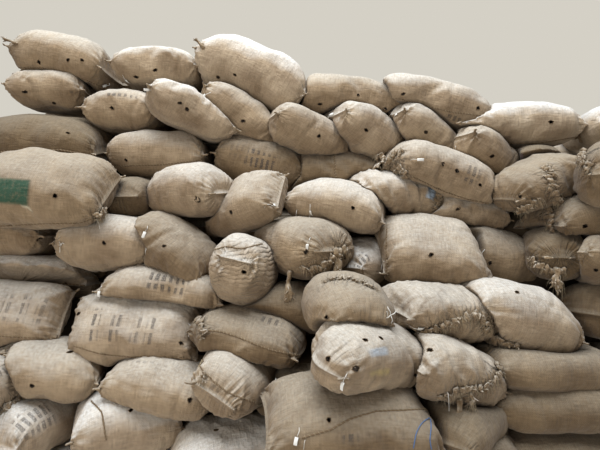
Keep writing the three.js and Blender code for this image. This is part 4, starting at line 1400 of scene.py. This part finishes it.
def paintOf(sack, bars):
    # how much ink there is, and plain patches of a dye: soft boxes on the flat cloth about the shown place
    run, arc, girth = sack["surface"]["run"], sack["surface"]["arc"][:-1], sack["surface"]["arc"][-1]
    paint = np.zeros((len(run), len(arc), 4))
    ink = np.zeros((len(run), len(arc)))
    edge = 16
    for pixel, halfAlong, halfAround, angle, strength, dye in bars:
        i, j = seenOn(sack, pixel)[2]
        du = (run - run[i])[:, None]
        dv = (arc[None] - arc[j] + girth / 2) % girth - girth / 2
        a = du * math.cos(angle) + dv * math.sin(angle)
        b = -du * math.sin(angle) + dv * math.cos(angle)
        mask = smooth((halfAlong - np.abs(a)) / edge + 0.5) * smooth((halfAround - np.abs(b)) / edge + 0.5)
        mask = mask * strength
        if dye == "ink":
            ink = np.maximum(ink, mask)
            continue
        paint[..., :3] = np.where(mask[..., None] > paint[..., 3:], dyes[dye], paint[..., :3])
        paint[..., 3] = np.maximum(paint[..., 3], mask)
    return paint, ink


def trimParts(name, sack):
    # all that a sack's marks ask for, then its tied mouths or the corners of its sewn ends
    rng = np.random.default_rng(sack["seed"] + 900)
    shown = marks.get(name, {})
    parts = []
    for pixel in shown.get("holes", ()):
        parts += holeParts(sack, pixel, rng)
    if "seam" in shown:
        parts += seamParts(sack, shown["seam"], rng)
    for *pixel, degrees in shown.get("tags", ()):
        parts += tagParts(sack, pixel, degrees, rng)
    for *pixel, degrees, length in shown.get("stubs", ()):
        parts += stubParts(sack, pixel, degrees, length, rng)
    for pixel in shown.get("ties", ()):
        parts += tieParts(sack, pixel, rng)
    for line in shown.get("strings", ()):
        points, normals = pathOn(sack, line, 12)
        parts.append(tube(points + normals * 4, 2.4, "blue_string", 5))
    for line in shown.get("ruffles", ()):
        parts += ruffleParts(sack, line, rng, shown.get("ruffleHeight", torn["height"]))
    for *pixel, length in shown.get("tassels", ()):
        parts += tasselParts(sack, pixel, length, rng)
    for *pixel, length in shown.get("threads", ()):
        point, normal, _ = seenOn(sack, pixel)
        parts.append(looseThread(point, normal, length, rng, "paper", 1.4))
    for index, end in enumerate((-1, 1)):
        if sack["neck"][index]:
            parts += frillParts(sack, end, rng)
            continue
        for side in (-1, 1):
            length = shown.get("ears", {}).get((end, side), rng.uniform(*ear["length"]))
            parts.append(earPart(sack, end, side, length, rng))
    return parts


def standFor(solid, name, parts):
    # a finished piece in the place of a solid
    piece = makeObject(name, parts)
    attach(piece, "root")
    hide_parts(solid)


for sack in front.values():
    addTree(sack)
report("surface trees")
for name, sack in front.items():
    paint, ink = paintOf(sack, marks.get(name, {}).get("bars", ()))
    trim = trimParts(name, sack)
    tone = tonesWithShade.get(name, tonesWithShade[name.split("_")[0]])
    skin = gridPart(sack["surface"], sack, tone, paint, ink)
    standFor("sack_" + name, "jute_" + name, [skin, *trim])
report("front pieces")


def scatter(count):
    # an even scatter between -0.5 and 0.5 for whole numbers, as in the part's source
    return (count * 0.618034) % 1 - 0.5


def layerSacks(level, before):
    # a layer of sacks on the other sides: laid along the stack and across it in turn, a little out of line
    lengthwise = level % 2 == 1
    left, back, height = layers["left"], layers["back"], layers["height"]
    right, step = layers["right"][level], layers["step"][level]
    columns = round((right - left) / layers["pitches"][level % 2])
    pitchX = (right - left) / columns
    made = []
    for column in range(columns):
        x = left + (column + 0.5) * pitchX
        depth = back - layers["frontLeft" if x < step else "frontRight"][level]
        rows = max(1, round(depth / layers["pitches"][(level + 1) % 2]))
        pitchY = depth / rows
        for row in range(rows):
            openFront = level < 3 and x > step and row == rows - 1
            if row > 0 and 0 < column < columns - 1 and not openFront and level < 6:
                continue
            count = 100 * level + 10 * column + row
            y = back - view["eyeToOrigin"] - (row + 0.5) * pitchY
            centre = (x + layers["astray"] * scatter(count), y + layers["astray"] * scatter(count + 3),
                      height * (level + 0.5))
            along, across = (pitchX, pitchY) if lengthwise else (pitchY, pitchX)
            size = (along * layers["overlap"][0], across * layers["overlap"][1], layers["thick"])
            yaw = (0 if lengthwise else 90) + 8 * scatter(count + 5)
            turn = (yaw, 4 * scatter(count + 7), 6 * scatter(count + 9))
            made.append(makeSack("behind", centre, size, turn, layers["droop"], 300 + before + len(made)))
    return made


def coreBlocks(level):
    # two plain dark blocks inside a layer, left and right of its step, as their low and high corners: painted
    # shade for the stack's hidden inside
    height, inset, near = layers["height"], layers["inset"], layers["margin"] - view["eyeToOrigin"]
    low = height * (level - 0.5 if level > 6 else level)
    high = height * (level + 0.5 if level >= 6 else level + 1) - layers["margin"]
    step, behindAll = layers["step"][level], layers["back"] - inset - view["eyeToOrigin"]
    openInset = inset if level < 3 else 0
    return [((layers["left"] + inset, layers["frontLeft"][level] + near, low), (step, behindAll, high)),
            ((step, layers["frontRight"][level] + openInset + near, low),
             (layers["right"][level] - inset, behindAll, high))]


behind = []
blocks = []
for level in range(len(layers["right"])):
    behind += layerSacks(level, len(behind))
    blocks += coreBlocks(level)
parts = []
rng = np.random.default_rng(77)
fronts = list(front.values())
for index, sack in enumerate(behind):
    surface = sackSurface(sack, density["middle"], behind[:index] + fronts, 0.7)
    parts.append(gridPart(surface, sack, rng.uniform(0.25, 0.7)))
for index, (pixel, away, size, turn, droop) in enumerate(middleSacks):
    place = seenPoint(pixel, away)
    sack = makeSack("hidden", place, size, turn, droop, 500 + index, slack=0.6, round=0.6, ends=(0.7, 0.7))
    surface = sackSurface(sack, density["middleFront"], fronts)
    # the sacks in the gaps between front sacks are given a dark tone: painted shade
    parts.append(gridPart(surface, sack, rng.uniform(-0.1, 0.15)))
for (left, near, low), (right, far, high) in blocks:
    corners = [[(left, near, z), (right, near, z), (right, far, z), (left, far, z)] for z in (low, high)]
    parts.append(looseGrid(np.array(corners), "dark_jute", 0.1))
standFor("hidden_middle", "jute_hidden_middle", parts)
report(f"middle, {len(behind)} sacks")

# the floor as one of the plain finishes, the backdrop, a wide light above and a weak warm one from the left
stage = {"floor": ((0.78, 0.77, 0.75), 0.9, 0.03, 2.0), "floorSize": 60, "backdrop": (0.66, 0.63, 0.56, 1),
         "world": (0.86, 0.80, 0.72, 1), "worldStrength": 0.25}
lights = {
    "sky": {"place": (-0.4, -2.3, 7.6), "target": (0, -0.6, 1.5), "size": (8.0, 4.5), "power": 860.0,
            "colour": (0.95, 0.98, 1.0)},
    "side": {"place": (-4.2, -6.5, 1.8), "target": (0, -0.5, 1.4), "size": (3.0, 3.0), "power": 130.0,
             "colour": (1.0, 0.92, 0.82)},
}
bpy.ops.mesh.primitive_plane_add(size=stage["floorSize"], location=(0, 0, 0))
floor = bpy.context.object
floor.name = "floor"
floor.data.materials.append(plainMaterial("floor_paint", *stage["floor"]))
floor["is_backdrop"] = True


def areaLight(name, place, target, size, power, colour):
    # a rectangle of light at a place, turned to its target
    light = bpy.data.lights.new(name, "AREA")
    light.color = colour
    light.shape = "RECTANGLE"
    light.size, light.size_y = size
    light.energy = power
    lamp = bpy.data.objects.new(name, light)
    lamp.location = place
    lamp.rotation_mode = "QUATERNION"
    lamp.rotation_quaternion = (Vector(target) - Vector(place)).to_track_quat("-Z", "Y")
    bpy.context.scene.collection.objects.link(lamp)


for name, light in lights.items():
    areaLight(name, **light)
world = bpy.data.worlds.new("studio")
world.use_nodes = True
tree = world.node_tree
glow = tree.nodes["Background"]
glow.inputs[0].default_value = stage["world"]
glow.inputs[1].default_value = stage["worldStrength"]
# the backdrop that the camera sees is paler than the light that it gives
backdrop = node(tree, "ShaderNodeBackground", {0: stage["backdrop"], 1: 1.0})
seen = node(tree, "ShaderNodeLightPath").outputs["Is Camera Ray"]
either = node(tree, "ShaderNodeMixShader", {0: seen, 1: glow.outputs[0], 2: backdrop.outputs[0]})
tree.links.new(either.outputs[0], tree.nodes["World Output"].inputs[0])
bpy.context.scene.world = world

lens = bpy.data.cameras.new("camera")
lens.sensor_width = 36
lens.lens = lens.sensor_width * view["reach"] / view["columns"]
camera = bpy.data.objects.new("camera", lens)
camera.location = (0, -view["eyeToOrigin"] / 1000, view["eyeHeight"] / 1000)
camera.rotation_euler = (math.pi / 2, 0, 0)
bpy.context.scene.collection.objects.link(camera)
bpy.context.scene.camera = camera
bpy.context.scene.view_settings.view_transform = "Standard"

low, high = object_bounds()
print("scene", [round(v, 3) for v in (*low, *high)])
